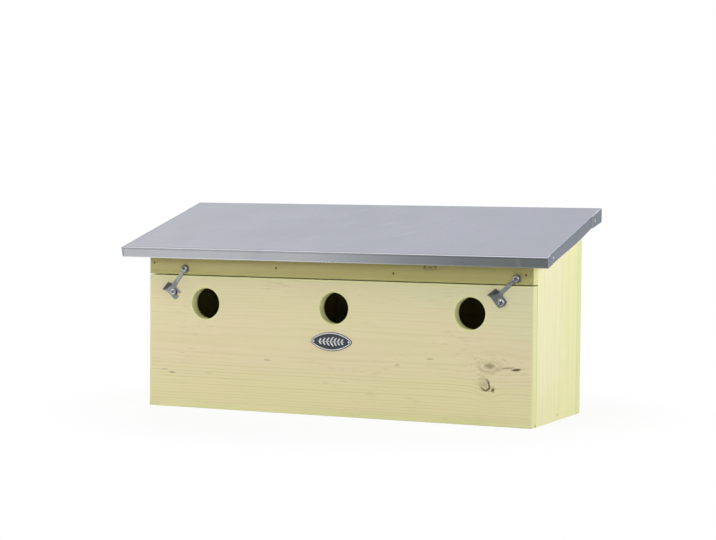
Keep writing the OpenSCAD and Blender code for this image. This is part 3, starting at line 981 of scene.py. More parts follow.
def turned_profile(radius: np.ndarray, height: np.ndarray, sides: int = 32) -> np.ndarray:
    """Carry a profile round an axis.

    Each profile point (r, h) becomes the ring (r cos a, -h, r sin a), so the axis is Y and
    heights stand out towards the front.

    Args:
        radius: Profile radii.
        height: Profile heights, towards -Y.
        sides: Steps round the axis.

    Returns:
        A grid of points that wraps round its columns.
    """
    angle = np.linspace(0.0, 2 * np.pi, sides, endpoint=False)[None, :]
    radius, height = radius[:, None], height[:, None]
    parts = (radius * np.cos(angle), np.broadcast_to(-height, (len(radius), sides)),
             radius * np.sin(angle))
    return np.stack(parts, axis=-1)


@dataclass
class Workshop:
    """What the sub-assemblies share: the frame, the effects and the record's slots.

    Faces that meet at less than flat become one, and an edge that turns by more than
    corner is rounded.
    """

    nodes: dict[str, Piece]
    record: dict
    effects: Effects
    flat: float = math.radians(0.4)
    corner: float = math.radians(35.0)

    def slot_of(self, node: str) -> str:
        """Return the record's material slot of a CAD node."""
        return next(part["material_slot"] for part in self.record["subparts"]
                    if part["node"] == node)

    def paint(self, node: str, material: Material) -> Piece:
        """Give a CAD node its material.

        Args:
            node: The node's name.
            material: Its finish.

        Returns:
            The node's object.
        """
        piece = self.nodes[node]
        if not piece.material_slots:
            piece.data.materials.append(material)
        for slot in piece.material_slots:
            slot.material = material
        LOG.info("%s: packed mesh, %s", node, material.name)
        return piece

    def add(self, name: str, mesh: bpy.types.Mesh, material: Material, stands_for: str) -> Piece:
        """Put a mesh in the scene in the place of a CAD node.

        Args:
            name: The piece's name.
            mesh: Its mesh, in place.
            material: Its finish.
            stands_for: The node that it replaces, whose body it rides on.

        Returns:
            The piece's object.
        """
        piece = link_new(name, mesh)
        mesh.materials.clear()
        mesh.materials.append(material)
        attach(piece, self.nodes[stands_for]["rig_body"])
        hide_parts(stands_for)
        self.slot_of(stands_for)
        LOG.info("%s: %d faces, %s", name, len(mesh.polygons), material.name)
        return piece

    def board(self, node: str, pine: Pine, width: float) -> None:
        """Round a board's edges and give it its finish, fitted to its box."""
        self.soften(node, pine.make(self.effects, *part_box(node)), width)

    def soften(self, node: str, material: Material, width: float,
               weigh: Callable[[bmesh.types.BMEdge], float] | None = None,
               segments: int = 2, merge: float = 2e-6, shortest: float = 0.5 * MM) -> Piece:
        """Replace a CAD node by a merged copy whose outer edges are rounded.

        Args:
            node: The node's name.
            material: Its finish.
            width: Width of the rounding.
            weigh: Gives the share of the width that an outer edge gets, 1 if it is None.
            segments: Faces across the rounding.
            merge: Points nearer than this become one.
            shortest: Shorter edges, such as the rims of nail holes, stay sharp.

        Returns:
            The new piece.
        """
        work = bmesh.new()
        work.from_mesh(self.nodes[node].data)
        bmesh.ops.remove_doubles(work, verts=work.verts, dist=merge)
        bmesh.ops.dissolve_limit(work, angle_limit=self.flat, verts=work.verts,
                                 edges=work.edges)
        weights = work.edges.layers.float.new("bevel_weight_edge")
        for edge in work.edges:
            turn = edge.calc_face_angle_signed() if len(edge.link_faces) == 2 else 0.0
            rounded = turn > self.corner and edge.calc_length() > shortest
            if rounded:
                edge[weights] = 1.0 if weigh is None else weigh(edge)
            edge.smooth = rounded or abs(turn) < self.corner
        mesh = bpy.data.meshes.new(node + "_soft")
        work.to_mesh(mesh)
        work.free()
        mesh.shade_smooth()
        piece = self.add(node + "_soft", mesh, material, node)
        bevel = piece.modifiers.new("rounding", "BEVEL")
        bevel.limit_method = "WEIGHT"
        bevel.width = width
        bevel.segments = segments
        bevel.use_clamp_overlap = False
        evened = piece.modifiers.new("flat_faces", "WEIGHTED_NORMAL")
        evened.weight = 100
        evened.keep_sharp = True
        return piece


# ---------------------------------------------------------------- sub-assemblies


@dataclass
class Case:
    """The boards that stand still, and their nails."""

    shop: Workshop
    edge: float = 0.6 * MM
    plain: tuple[str, ...] = ("floor_board", "left_partition", "right_partition")

    def build(self, nail: Material) -> None:
        """Dress every board and nail of the case.

        Args:
            nail: The nails' finish.
        """
        self.dress_sides()
        self.dress_back()
        self.dress_rail()
        for node in self.plain:
            grain = Grain.ALONG if node == "floor_board" else Grain.UPRIGHT
            finish = Pine(node + "_pine", grain=grain, heart=(0.0, 0.09, -0.05))
            self.shop.paint(node, finish.make(self.shop.effects, *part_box(node)))
        for node in ("rail_nails", "side_nails", "back_nails"):
            self.shop.paint(node, nail)

    def dress_sides(self) -> None:
        """Round the side boards and give them upright grain, flatter towards the back."""
        for node, tangent in (("left_side_board", -1.0), ("right_side_board", 1.0)):
            low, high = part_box(node)
            heart = (0.0, high.y - 0.045, -(low.x + tangent * 0.06))
            rear = Stain((0.0, 1.0, 0.0), 0.0, 0.045, (0.7, 0.69, 0.36), 0.6, 0.08)
            foot = Stain((0.0, 0.35, -1.0), -0.07, -0.02, (0.7, 0.69, 0.37), 0.45, 0.08)
            finish = Pine(node + "_pine", grain=Grain.UPRIGHT, heart=heart, ring=0.0056,
                          wander=0.017, contrast=0.4, streaks=0.4,
                          early=(0.745, 0.72, 0.465), late=(0.6, 0.57, 0.3),
                          warm=(0.75, 0.7, 0.475), soaked=(0.7, 0.71, 0.38), reach=0.004,
                          stroke=(0.55, 0.51, 0.29), stains=(rear, foot))
            self.shop.board(node, finish, self.edge)

    def dress_back(self) -> None:
        """Round the back board, whose edges are greener."""
        _low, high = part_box("back_board")
        finish = Pine("back_board_pine", heart=(0.0, high.y + 0.05, 0.1),
                      early=(0.68, 0.66, 0.38), soaked=(0.64, 0.68, 0.36), reach=0.012)
        self.shop.board("back_board", finish, self.edge)

    def dress_rail(self) -> None:
        """Round the front rail, with its knot under the eave, in colours darkened as painted
        shade from the eave.
        """
        low, _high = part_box("front_rail")
        knots = (
            Knot((0.116, low.y, 0.1695), 0.0065, 0.0032, 0.0, 0.9, 0.95, (0.0, 0.0, 1.0)),
            Knot((0.2265, low.y, 0.167), 0.006, 0.0055, 0.3, 0.1, 0.12, halo=0.6),
        )
        # The shade stain paints the eave's shadow, darker towards the right. The rail's colours
        # below are pine darkened as painted shade, and its ends that face X keep the unshaded
        # colour
        shade = Stain((1.0, 0.0, 0.0), -0.16, 0.14, (0.345, 0.32, 0.12), 0.62, 0.05)
        finish = Pine("front_rail_pine", heart=(0.0, low.y + 0.05, 0.145), wander=0.004,
                      early=(0.441, 0.412, 0.189), late=(0.334, 0.3, 0.116),
                      warm=(0.441, 0.388, 0.179), soaked=(0.417, 0.407, 0.155),
                      stroke=(0.27, 0.235, 0.1), unshaded_end=(0.63, 0.62, 0.29), knots=knots,
                      stains=(shade,))
        self.shop.board("front_rail", finish, self.edge)


@dataclass
class Roof:
    """The roof board, its folded metal sheet and the nails in the folds."""

    shop: Workshop
    bend: float = 1.0 * MM
    cut_edge: float = 0.2
    top_depth: float = 80 * MM
    long_edge: float = 100 * MM
    fold_depth: ClassVar[float] = 6 * MM
    bend_depth: ClassVar[float] = 0.5 * MM
    wipes: ClassVar[tuple[Fleck, ...]] = (
        Fleck((-0.028, 0.0, 0.067), 0.013, 0.0030, 0.73, 0.5),
        Fleck((0.029, 0.0, 0.017), 0.014, 0.0026, 0.73, 0.55),
        Fleck((0.064, 0.0, -0.020), 0.018, 0.0022, 0.73, 0.6),
        Fleck((0.074, 0.0, -0.012), 0.015, 0.0018, 0.73, 0.5),
        Fleck((-0.018, 0.0, 0.017), 0.013, 0.0024, 0.73, 0.45),
        Fleck((-0.041, 0.0, -0.045), 0.016, 0.0030, 0.73, 0.45),
        Fleck((0.127, 0.0, 0.047), 0.010, 0.0022, 0.9, 0.35),
    )

    @classmethod
    def front_fold(cls, sheet: Piece) -> Fold:
        """Measure the sheet's front fold.

        Its foot is the lowest point within fold_depth of the front, and its bend the highest
        within bend_depth.

        Args:
            sheet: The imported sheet.

        Returns:
            The fold.
        """
        points = np.empty(len(sheet.data.vertices) * 3)
        sheet.data.vertices.foreach_get("co", points)
        points = points.reshape(-1, 3)
        left, front = points[:, 0].min(), points[:, 1].min()
        foot = points[points[:, 1] < front + cls.fold_depth][:, 2].min()
        bend = points[points[:, 1] < front + cls.bend_depth][:, 2].max()
        return Fold((float(left), float(front), float(foot)), float(bend - foot))

    def build(self, sheet: Material, nail: Material) -> None:
        """Dress the roof.

        Args:
            sheet: The metal sheet's finish.
            nail: The finish of the nails in its folds.
        """
        board = Pine("roof_board_pine", heart=(0.0, 0.02, 0.3), ring=0.0044)
        self.shop.paint("roof_board", board.make(self.shop.effects, *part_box("roof_board")))
        self.shop.soften("roof_sheet", sheet, self.bend, self.share_of_bend, segments=3,
                         shortest=0.25 * MM)
        self.shop.paint("roof_nails", nail)

    def share_of_bend(self, edge: bmesh.types.BMEdge) -> float:
        """Weigh an edge of the sheet: 1 on the bends round the top face, less on cut edges.

        Args:
            edge: The edge.

        Returns:
            Its share of the bend's width.
        """
        steepest = max(face.normal.z for face in edge.link_faces)
        highest = max(vert.co.z for vert in edge.verts)
        near_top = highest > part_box("roof_sheet")[1].z - self.top_depth
        on_top = steepest > 0.9 and near_top and edge.calc_length() > self.long_edge
        return 1.0 if on_top else self.cut_edge


@dataclass
class Door:
    """The drop-down front with its entrances, and the hinges under it."""

    shop: Workshop
    edge: float = 0.8 * MM
    entrance_insets: tuple[float, float] = (73.5 * MM, 72.3 * MM)
    entrance_drop: float = 31.6 * MM
    entrance_radius: float = 17.75 * MM
    keeper_insets: tuple[float, float] = (32.2 * MM, 35.4 * MM)
    keeper_drops: tuple[float, float] = (19.3 * MM, 18.3 * MM)
    hinge_parts: tuple[str, ...] = field(default=(
        "left_hinge_floor_leaf", "right_hinge_floor_leaf", "left_hinge_pin", "right_hinge_pin",
        "left_hinge_door_leaf", "right_hinge_door_leaf"))

    def build(self, hinge: Material, screw: Material) -> None:
        """Dress the door and its hinges.

        Args:
            hinge: The finish of leaves and pins.
            screw: The finish of the leaves' screws.
        """
        low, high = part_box("front_door")
        finish = Pine("front_door_pine", heart=(0.0, low.y + 0.028, 0.08), ring=0.0031,
                      wander=0.006, contrast=0.85, calm=(0.04, 0.075, 0.5), streaks=0.35,
                      knots=self.knots(low.y),
                      flecks=self.flecks(low, high), stains=self.stains,
                      bores=self.bores(low, high), reach=0.004, soaked=(0.65, 0.66, 0.33),
                      core=(0.22, 0.175, 0.105))
        self.shop.board("front_door", finish, self.edge)
        for node in self.hinge_parts:
            self.shop.paint(node, hinge)
        for node in ("hinge_floor_screws", "hinge_door_screws"):
            self.shop.paint(node, screw)

    def knots(self, face: float) -> tuple[Knot, ...]:
        """List the two knots near the door's right end.

        Args:
            face: Where the door's front face lies along Y.

        Returns:
            The knots.
        """
        return (
            Knot((0.1862, face, 0.0650), 0.0120, 0.0066, 0.05, 0.75, 0.22, pith=0.8),
            Knot((0.1808, face, 0.0450), 0.0050, 0.0070, 0.5, 0.5, 0.9, (0.8, 0.0, -0.6),
                 pith=1.05),
        )

    def flecks(self, low: Vector, high: Vector) -> tuple[Fleck, ...]:
        """List the door's dark streaks, and the painted shadows round its two keeper screws.

        Args:
            low: The door's lowest corner.
            high: The door's highest corner.

        Returns:
            The flecks.
        """
        face = low.y
        inset, drop = self.keeper_insets, self.keeper_drops
        return (
            Fleck((0.1905, face, 0.0392), 0.0022, 0.0036, -0.35, 0.85),
            Fleck((0.2168, face, 0.0622), 0.0066, 0.0018, 0.09, 0.95),
            Fleck((0.2070, face, 0.0636), 0.0085, 0.0012, 0.12, 0.5),
            Fleck((-0.0819, face, 0.0593), 0.0056, 0.0009, 0.0, 0.42),
            Fleck((-0.2052, face, 0.0397), 0.0050, 0.0012, 0.0, 0.55),
            Fleck((-0.2150, face, 0.0430), 0.0050, 0.0009, 0.1, 0.25),
            Fleck((0.1172, face, 0.0695), 0.0056, 0.0009, 0.03, 0.42),
            Fleck((0.0781, face, 0.0612), 0.0040, 0.0011, 0.25, 0.3),
            # Painted shadows round the two keeper screws, where the catches shade the wood
            Fleck((low.x + inset[0], face, high.z - drop[0]), 0.0052, 0.0052, 0.0, 0.9),
            Fleck((high.x - inset[1], face, high.z - drop[1]), 0.0052, 0.0052, 0.0, 0.9),
        )

    @property
    def stains(self) -> tuple[Stain, ...]:
        """Return the olive lower part, the green foot and the green upper right corner."""
        return (
            Stain((0.0, 0.0, -1.0), -0.056, -0.036, (0.67, 0.635, 0.345), 0.45),
            Stain((0.0, 0.0, -1.0), -0.013, 0.004, (0.56, 0.60, 0.28), 0.65, 0.045),
            # Darker green top strip: partly the wood's tint, partly painted shade from the eave
            Stain((0.0, 0.0, 1.0), 0.105, 0.150, (0.62, 0.595, 0.37), 0.65),
            Stain((0.35, 0.0, 0.94), 0.148, 0.178, (0.62, 0.63, 0.395), 0.5, 0.03),
        )

    def bores(self, low: Vector, high: Vector) -> tuple[Bore, ...]:
        """Find the three entrances: two from the door's ends, and one half way between.

        Args:
            low: The door's lowest corner.
            high: The door's highest corner.

        Returns:
            The entrances.
        """
        left, right = low.x + self.entrance_insets[0], high.x - self.entrance_insets[1]
        level = high.z - self.entrance_drop
        return tuple(Bore((x, low.y, level), self.entrance_radius)
                     for x in (left, (left + right) / 2, right))


@dataclass
class Catch:
    """A swivel catch with its pivot screw on the rail and its keeper screw on the door."""

    shop: Workshop
    side: str
    edge: float = 0.22 * MM
    screw_edge: float = 0.25 * MM
    # A painted highlight near the top of the left catch's strap
    strap_highlights: ClassVar[tuple[Fleck, ...]] = (
        Fleck((-0.1935, 0.0, 0.1490), 0.0115, 0.0065, 1.0, 0.45),
    )

    def build(self, steel: Material, screw: Material) -> None:
        """Round and dress the catch and its two screws.

        Args:
            steel: The catch's finish.
            screw: The screws' finish.
        """
        self.shop.soften(self.side + "_catch", steel, self.edge, merge=0.03 * MM,
                         shortest=0.1 * MM)
        for part in ("_pivot_screw", "_keeper_screw"):
            self.shop.soften(self.side + part, screw, self.screw_edge, merge=0.03 * MM,
                             shortest=0.12 * MM)


@dataclass(frozen=True)
class Sprig:
    """A stem along X with pairs of leaves, raised over a plate's field.

    Leaves stand a step apart from a shifted middle, are shorter by taper for each step from
    it, and lean away from the stem. Heights and the vein's depth are shares of the relief.
    """

    pairs: int = 7
    step: float = 4.5 * MM
    shift: float = -1.2 * MM
    length: float = 7.3 * MM
    taper: float = 0.95 * MM
    half_width: float = 1.05 * MM
    fullness: float = 0.8
    lean: float = math.radians(52.0)
    vein_half: float = 0.16 * MM
    vein_depth: float = 0.45
    stem_half: float = 0.38 * MM
    stem_reach: float = 16 * MM
    stem_height: float = 0.8

    def height(self, x: np.ndarray, z: np.ndarray) -> np.ndarray:
        """Height of the sprig over the plate's field, from 0 to 1.

        A leaf is as wide as a sine along its length and crowned like a circle across it, and
        a thin groove runs down its middle. The stem is a low ridge along X.

        Args:
            x: Places along the plate.
            z: Places up the plate.

        Returns:
            The height at each place.
        """
        stem = np.clip(1.0 - (z / self.stem_half) ** 2, 0.0, 1.0)
        height = self.stem_height * stem * (np.abs(x) < self.stem_reach)
        cos, sin = math.cos(self.lean), math.sin(self.lean)
        for step in np.arange(self.pairs) - (self.pairs - 1) / 2:
            length = self.length - self.taper * abs(step)
            dx = x - (self.step * step + self.shift)
            for dz in (-z, z):
                u = (dx * cos + dz * sin) / length
                v = -dx * sin + dz * cos
                swell = np.sin(np.pi * np.clip(u, 0.0, 1.0)) ** self.fullness
                half = self.half_width * swell + NO_WIDTH
                crown = np.sqrt(np.clip(1.0 - (v / half) ** 2, 0.0, 1.0))
                groove = np.clip(1.0 - (v / self.vein_half) ** 2, 0.0, 1.0)
                height = np.maximum(height, crown * (1.0 - self.vein_depth * groove))
        return height


@dataclass
class OvalPlate:
    """The small oval plate with a double rim and a leaf sprig, and its two domed pins."""

    shop: Workshop
    end_radius: float = 3.5 * MM
    base: float = 0.8 * MM
    relief: float = 0.3 * MM
    margin: float = 0.6 * MM
    rim: float = 1.15 * MM
    groove: float = 0.3 * MM
    bead: float = 0.4 * MM
    bead_height: float = 0.22
    steps_round: int = 320
    steps_in: int = 56
    border_steps: int = 25
    sprig: Sprig = Sprig()
    pin_radius: float = 1.1 * MM
    pin_dome: float = 0.6 * MM
    shank: float = 0.6 * MM
    dome_steps: int = 9

    def build(self, plate: Material, pin: Material) -> None:
        """Make and dress the plate and its pins.

        Args:
            plate: The plate's finish.
            pin: The pins' finish.
        """
        self.make_plate(plate)
        self.make_pins(pin)

    def outline(self, angle: np.ndarray, half_w: float, half_h: float) -> np.ndarray:
        """Find the oval's edge in given directions from its middle.

        The oval is two wide arcs that meet two end arcs smoothly. A ray is cut with the wide
        arc, and where that lies past the meeting place, with the end arc instead.

        Args:
            angle: Directions from +X towards +Z.
            half_w: Half the oval's width.
            half_h: Half its height.

        Returns:
            Points as an array with two columns.
        """
        r = self.end_radius
        cos, sin = np.cos(angle), np.sin(angle)
        drop = ((half_w - r) ** 2 - (half_h - r) ** 2) / (2 * (half_h - r))
        wide = drop + half_h
        meet = (half_w - r) * wide / (wide - r)
        along = np.abs(sin) * drop
        wide_reach = -along + np.sqrt(along**2 + wide**2 - drop**2)
        middle = half_w - r
        along = np.abs(cos) * middle
        end_reach = along + np.sqrt(np.maximum(along**2 + r**2 - middle**2, 0.0))
        reach = np.where(wide_reach * np.abs(cos) <= meet, wide_reach, end_reach)
        return np.stack((reach * cos, reach * sin), axis=-1)

    def make_plate(self, finish: Material) -> None:
        """Shape the plate as one closed skin: back, margin, rim, groove, bead and field.

        The rings follow the outline moved inwards along its own normal as far as the bead's
        inner edge, and from there they shrink to the middle. Heights are a half-round rim, a
        half-round bead and the sprig.

        Args:
            finish: The plate's finish.
        """
        low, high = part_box("oval_plate")
        middle, back = (low + high) / 2, high.y
        half_w, half_h = (high.x - low.x) / 2, (high.z - low.z) / 2
        turn = np.linspace(0.0, 2 * np.pi, self.steps_round, endpoint=False)
        edge = self.outline(np.arctan2(half_h * np.sin(turn), half_w * np.cos(turn)),
                            half_w, half_h)
        run = np.roll(edge, -1, axis=0) - np.roll(edge, 1, axis=0)
        inward = np.stack((-run[:, 1], run[:, 0]), axis=-1)
        inward /= np.linalg.norm(inward, axis=1, keepdims=True)
        border = self.margin + self.rim + self.groove + self.bead
        inset = np.linspace(0.0, border, self.border_steps)[:, None, None]
        rings = edge[None] + inset * inward[None]
        shrink = np.linspace(1.0, 0.0, self.steps_in)[1:, None, None]
        inner = shrink * rings[-1][None]
        flat = np.concatenate((rings, inner))
        rim_at = (inset - self.margin) / self.rim
        rim = np.sqrt(np.clip(1 - (2 * rim_at - 1) ** 2, 0, 1))
        bead_at = (inset - border + self.bead) / self.bead
        bead = self.bead_height * np.sqrt(np.clip(1 - (2 * bead_at - 1) ** 2, 0, 1))
        lift = np.broadcast_to(np.maximum(rim, bead)[..., 0], rings.shape[:2])
        height = np.concatenate((lift, self.sprig.height(inner[..., 0], inner[..., 1])))
        front = self.base + self.relief * height
        top = np.stack((middle.x + flat[..., 0], back - front, middle.z + flat[..., 1]), axis=-1)
        foot = top[:1].copy()
        foot[..., 1] = back
        centre = np.broadcast_to(np.array((middle.x, back, middle.z)), foot.shape)
        mesh = surface("oval_plate_relief", np.concatenate((centre, foot, top)), False, True)
        spots = np.zeros(len(mesh.vertices) * 3)
        mesh.vertices.foreach_get("co", spots)
        raised = np.clip((back - spots[1::3] - self.base) / self.relief, 0.0, 1.0)
        mesh.attributes.new("relief", "FLOAT", "POINT").data.foreach_set("value", raised)
        self.shop.add("oval_plate_relief", mesh, finish, "oval_plate")

    def make_pins(self, finish: Material) -> None:
        """Turn the two pins: a shank that ends in a low dome.

        The dome's radius is a cosine and its height a sine of the same angle.

        Args:
            finish: The pins' finish.
        """
        low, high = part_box("plate_pins")
        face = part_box("oval_plate")[1].y - self.base
        lean = np.linspace(0.0, np.pi / 2, self.dome_steps)
        radius = np.concatenate(([0.0, self.shank, self.shank], self.pin_radius * np.cos(lean)))
        tip = face - high.y
        height = np.concatenate(([tip, tip, 0.0], self.pin_dome * np.sin(lean)))
        pin = turned_profile(radius, height)
        middle = (low + high) / 2
        half = (high.x - low.x) / 2 - self.pin_radius
        meshes = []
        for side in (-1.0, 1.0):
            spot = np.array((middle.x + side * half, face, middle.z))
            meshes.append(surface("pin", pin + spot, False, True))
        both = bmesh.new()
        for mesh in meshes:
            both.from_mesh(mesh)
        joined = bpy.data.meshes.new("plate_pin_domes")
        both.to_mesh(joined)
        both.free()
        joined.shade_smooth()
        self.shop.add("plate_pin_domes", joined, finish, "plate_pins")


def plate_finish(effects: Effects) -> Material:
    """Stamped plate: dark in the field, pale and satin where it stands proud.

    Args:
        effects: The shared node groups.

    Returns:
        The material, which reads the plate's own relief attribute.
    """
    material, b, shader = start_material("stamped_plate")
    spot = b.node("ShaderNodeTexCoord").outputs["Object"]
    marks = b.place(effects.handling, Vector=spot)
    relief = b.node("ShaderNodeAttribute", attribute_name="relief").outputs["Fac"]
    worn = b.math("MULTIPLY_ADD", marks.outputs["Clouds"], -0.25, relief)
    bare = b.span(worn, 0.25, 0.6)
    b.feed(shader.inputs["Base Color"], b.mix(bare, (0.035, 0.04, 0.05), (0.74, 0.75, 0.76)))
    b.feed(shader.inputs["Roughness"], b.math("MULTIPLY_ADD", bare, -0.1, 0.45))
    b.feed(shader.inputs["Metallic"], b.times(bare, 0.25))
    return material


# ---------------------------------------------------------------- studio


@dataclass(frozen=True)
class Lamp:
    """A square soft lamp."""

    name: str
    place: Point
    size: float
    power: float
    target: Point = (0.0, 0.0, 0.1)
    mirrored: bool = False


@dataclass(frozen=True)
class Card:
    """A grey card that only reflections see, clear at the start of its first side."""

    name: str
    corner: Point
    first: Point
    second: Point
    shade: Colour
    clear_until: float = 0.0
    full_from: float = 0.01


@dataclass
class Studio:
    """A pale floor, soft lamps, grey cards for the metal and the camera."""

    eye: Point = (0.92215, -2.04095, 0.2599)
    ahead: Point = (-0.41216, 0.91004, -0.04415)
    right: Point = (0.91072, 0.41292, 0.00934)
    lens: float = 98.37
    sensor: float = 36.0
    sky: float = 0.02
    floor_half: float = 3.0
    floor_glow: float = 0.87
    shadow_fade: tuple[float, float] = (0.22, 0.42)
    lamps: tuple[Lamp, ...] = (
        Lamp("high_left", (-1.4, -0.8, 1.8), 1.4, 23.5),
        Lamp("front_left", (-0.75, -2.25, 0.75), 1.3, 29.3),
        Lamp("right", (2.2, -0.5, 1.0), 1.4, 26.7),
        Lamp("right_rear", (2.0, 0.6, 0.9), 1.2, 17.8),
        Lamp("rear", (-0.9, 2.1, 1.2), 1.4, 24.0),
    )
    cards: tuple[Card, ...] = (
        Card("card_on_floor", (-0.25, -0.75, 0.002), (1.6, 0.0, 0.0), (0.0, 0.55, 0.0),
             (0.245, 0.27, 0.25), 0.0, 0.2),
        Card("card_at_foot", (-0.35, -0.16, 0.001), (0.75, 0.0, 0.0), (0.0, 0.09, 0.0),
             (0.1, 0.1, 0.12)),
        Card("card_at_right", (0.2, 1.5, 0.0), (2.0, 0.0, 0.0), (0.0, 0.0, 0.9),
             (0.407, 0.443, 0.489)),
        Card("card_behind", (-2.3, 2.2, 0.95), (2.6, 0.0, 0.0), (0.0, 0.0, 1.6),
             (0.755, 0.762, 0.86), -0.6, 0.9),
        Card("card_in_front", (1.2, -3.2, 0.0), (-4.5, 0.0, 0.0), (0.0, 0.0, 1.6),
             (0.3, 0.31, 0.34)),
    )

    def build(self) -> None:
        """Set up the view, the world, the floor, the lamps, the cards and the camera."""
        scene = bpy.context.scene
        scene.view_settings.view_transform = "Standard"
        self.make_world(scene)
        self.make_floor()
        for lamp in self.lamps:
            self.make_lamp(lamp)
        for card in self.cards:
            self.make_card(card)
        self.make_camera(scene)

    def make_world(self, scene: bpy.types.Scene) -> None:
        """White to the camera and in reflections, and a plain sky for the rest.

        Args:
            scene: The scene.
        """
        world = bpy.data.worlds.new("studio")
        world.use_nodes = True
        b = Bench(world.node_tree)
        through = b.node("ShaderNodeLightPath").outputs["Is Transmission Ray"]
        seen = b.math("MAXIMUM", b.seen(), through)
        back = world.node_tree.nodes["Background"]
        b.feed(back.inputs["Color"], (1.0, 1.0, 1.0))
        b.feed(back.inputs["Strength"],
               b.math("MULTIPLY_ADD", seen, 1.0 - self.sky, self.sky))
        scene.world = world

    def make_floor(self) -> None:
        """Lay a flat square floor, white to the camera, that keeps a faint shadow.

        Its share of plain white grows with the distance from the object, up to all of it.
        """
        side = np.linspace(-self.floor_half, self.floor_half, 5)
        x, y = np.meshgrid(side, side, indexing="ij")
        mesh = surface("floor", np.stack((x, y, np.zeros_like(x)), axis=-1), False, False)
        material, b, shader = start_material("paper_floor")
        b.feed(shader.inputs["Base Color"], (0.9, 0.9, 0.9))
        b.feed(shader.inputs["Roughness"], 0.9)
        b.feed(shader.inputs["Specular IOR Level"], 0.0)
        glow = b.node("ShaderNodeEmission")
        away = b.vector("LENGTH", b.node("ShaderNodeTexCoord").outputs["Object"])
        share = b.span(away, *self.shadow_fade, self.floor_glow, 1.0)
        self.blend(material, b.times(b.seen(), share), shader.outputs[0], glow.outputs[0])
        self.stand("floor", mesh, material)

    def make_card(self, card: Card) -> None:
        """Stand a card where only reflections see it.

        Args:
            card: The card.
        """
        ends = np.array((0.0, 1.0))
        u, v = np.meshgrid(ends, ends, indexing="ij")
        first, second = np.array(card.first), np.array(card.second)
        grid = np.array(card.corner) + u[..., None] * first + v[..., None] * second
        mesh = surface(card.name, grid, False, False)
        material, b, _ = start_material(card.name)
        glow = b.node("ShaderNodeEmission", card.shade)
        clear = b.node("ShaderNodeBsdfTransparent")
        length = float(np.linalg.norm(first))
        spot = b.node("ShaderNodeTexCoord").outputs["Object"]
        run = b.vector("DOT_PRODUCT", b.vector("SUBTRACT", spot, card.corner),
                       tuple(first / length))
        share = b.span(run, card.clear_until * length, card.full_from * length)
        self.blend(material, share, clear.outputs[0], glow.outputs[0])
        stood = self.stand(card.name, mesh, material)
        stood.visible_camera = False
        stood.visible_diffuse = False
        stood.visible_shadow = False
        stood.visible_transmission = False

    def blend(self, material: Material, share: Socket, first: Socket, second: Socket) -> None:
        """Make a material's surface a mix of two shaders.

        Args:
            material: The material.
            share: The second shader's share.
            first: The first shader.
            second: The second shader.
        """
        b = Bench(material.node_tree)
        mixed = b.node("ShaderNodeMixShader", share, first, second)
        b.feed(material.node_tree.nodes["Material Output"].inputs["Surface"], mixed.outputs[0])

    def stand(self, name: str, mesh: bpy.types.Mesh, material: Material) -> Piece:
        """Put a piece of the studio in the scene.

        Args:
            name: Its name.
            mesh: Its mesh, in place.
            material: Its material.

        Returns:
            The object, marked as stage.
        """
        stood = link_new(name, mesh)
        mesh.materials.append(material)
        stood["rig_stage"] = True
        return stood

    def make_lamp(self, lamp: Lamp) -> None:
        """Hang a lamp and point it at its target.

        Args:
            lamp: The lamp.
        """
        light = bpy.data.lights.new(lamp.name, "AREA")
        light.shape = "SQUARE"
        light.size = lamp.size
        light.energy = lamp.power
        hung = link_new(lamp.name, light)
        hung.location = lamp.place
        aim = Vector(lamp.target) - Vector(lamp.place)
        hung.rotation_euler = aim.to_track_quat("-Z", "Y").to_euler()
        hung.visible_glossy = lamp.mirrored

    def make_camera(self, scene: bpy.types.Scene) -> None:
        """Set the camera by its axes.

        Args:
            scene: The scene.
        """
        data = bpy.data.cameras.new("camera")
        data.lens = self.lens
        data.sensor_width = self.sensor
        camera = link_new("camera", data)
        ahead = Vector(self.ahead).normalized()
        right = Vector(self.right)
        right = (right - ahead * right.dot(ahead)).normalized()
        up = right.cross(ahead)
        turn = Matrix((right, up, -ahead)).transposed().to_4x4()
        camera.matrix_world = Matrix.Translation(self.eye) @ turn
        scene.camera = camera


# ---------------------------------------------------------------- assembly


def corners(box: tuple[Vector, Vector]) -> list[list[float]]:
    """Return a box's two corners as plain lists."""
    return [list(corner) for corner in box]


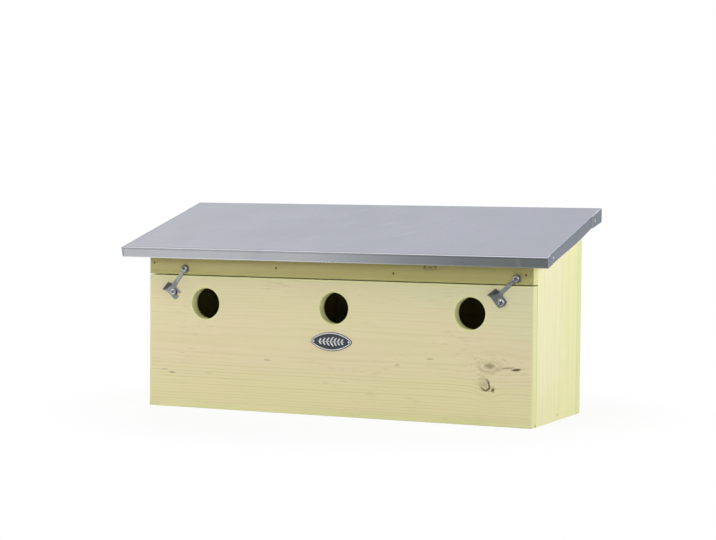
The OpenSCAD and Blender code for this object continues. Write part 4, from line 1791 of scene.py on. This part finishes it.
def main() -> None:
    """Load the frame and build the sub-assemblies in order."""
    logging.basicConfig(level=logging.INFO, format="%(name)s: %(message)s")
    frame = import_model()
    cad_box = corners(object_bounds())
    effects = Effects.build()
    shop = Workshop(frame["nodes"], frame["record"], effects)
    zinc = Metal("screw_zinc", (0.7, 0.72, 0.74), (0.55, 0.57, 0.6), roughness=0.25)
    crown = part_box("left_pivot_screw")[0].y
    # The heads' strong clouds paint glints and dark patches as painted reflections, and the
    # crown sets painted shade behind it
    head = Metal("screw_head_zinc", (0.78, 0.8, 0.82), (0.24, 0.26, 0.27), roughness=0.22,
                 clouds=0.8, zoom=14.0, crown=crown)
    steel = Metal("catch_zinc", (0.38, 0.4, 0.43), (0.22, 0.24, 0.25), roughness=0.34,
                  clouds=0.8, zoom=9.0, upright=True, wipe_and_highlight_gain=1.75)
    # The left catch is a lighter copy of the steel, with a painted highlight on its strap
    highlighted_steel = replace(steel, name="highlighted_catch_zinc", bright=(0.42, 0.44, 0.43),
                     wipes=Catch.strap_highlights)
    pin = Metal("pin_zinc", (0.8, 0.81, 0.82), (0.7, 0.71, 0.72), roughness=0.3,
                metallic=0.35, zoom=8.0)
    hinge = Metal("hinge_zinc", (0.6, 0.61, 0.62), (0.5, 0.5, 0.5), roughness=0.35, zoom=6.0)
    nail = Metal("blued_nail", (0.1, 0.09, 0.05), (0.06, 0.055, 0.03), roughness=0.5,
                 metallic=0.5, zoom=6.0)
    sheet = Metal("roof_zinc", (0.475, 0.486, 0.517), (0.454, 0.462, 0.495), roughness=0.3,
                  clouds=0.4, smudges=0.2, scratches=0.1, dent_depth=0.12 * MM, slant=-0.75,
                  bend_shine=0.95, wipes=Roof.wipes,
                  fold=Roof.front_fold(shop.nodes["roof_sheet"]))
    roof_nail = Metal("roof_nail_zinc", (0.88, 0.9, 0.93), (0.7, 0.71, 0.75), roughness=0.3,
                      metallic=0.45, zoom=8.0)
    Case(shop).build(nail.make(effects))
    Roof(shop).build(sheet.make(effects), roof_nail.make(effects))
    screw_zinc = zinc.make(effects)
    Door(shop).build(hinge.make(effects), screw_zinc)
    head_zinc = head.make(effects)
    for side, finish in (("left", highlighted_steel), ("right", steel)):
        Catch(shop, side).build(finish.make(effects), head_zinc)
    OvalPlate(shop).build(plate_finish(effects), pin.make(effects))
    Studio().build()
    {"cad": cad_box, "visual": corners(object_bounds())}


if __name__ == "__main__":
    main()
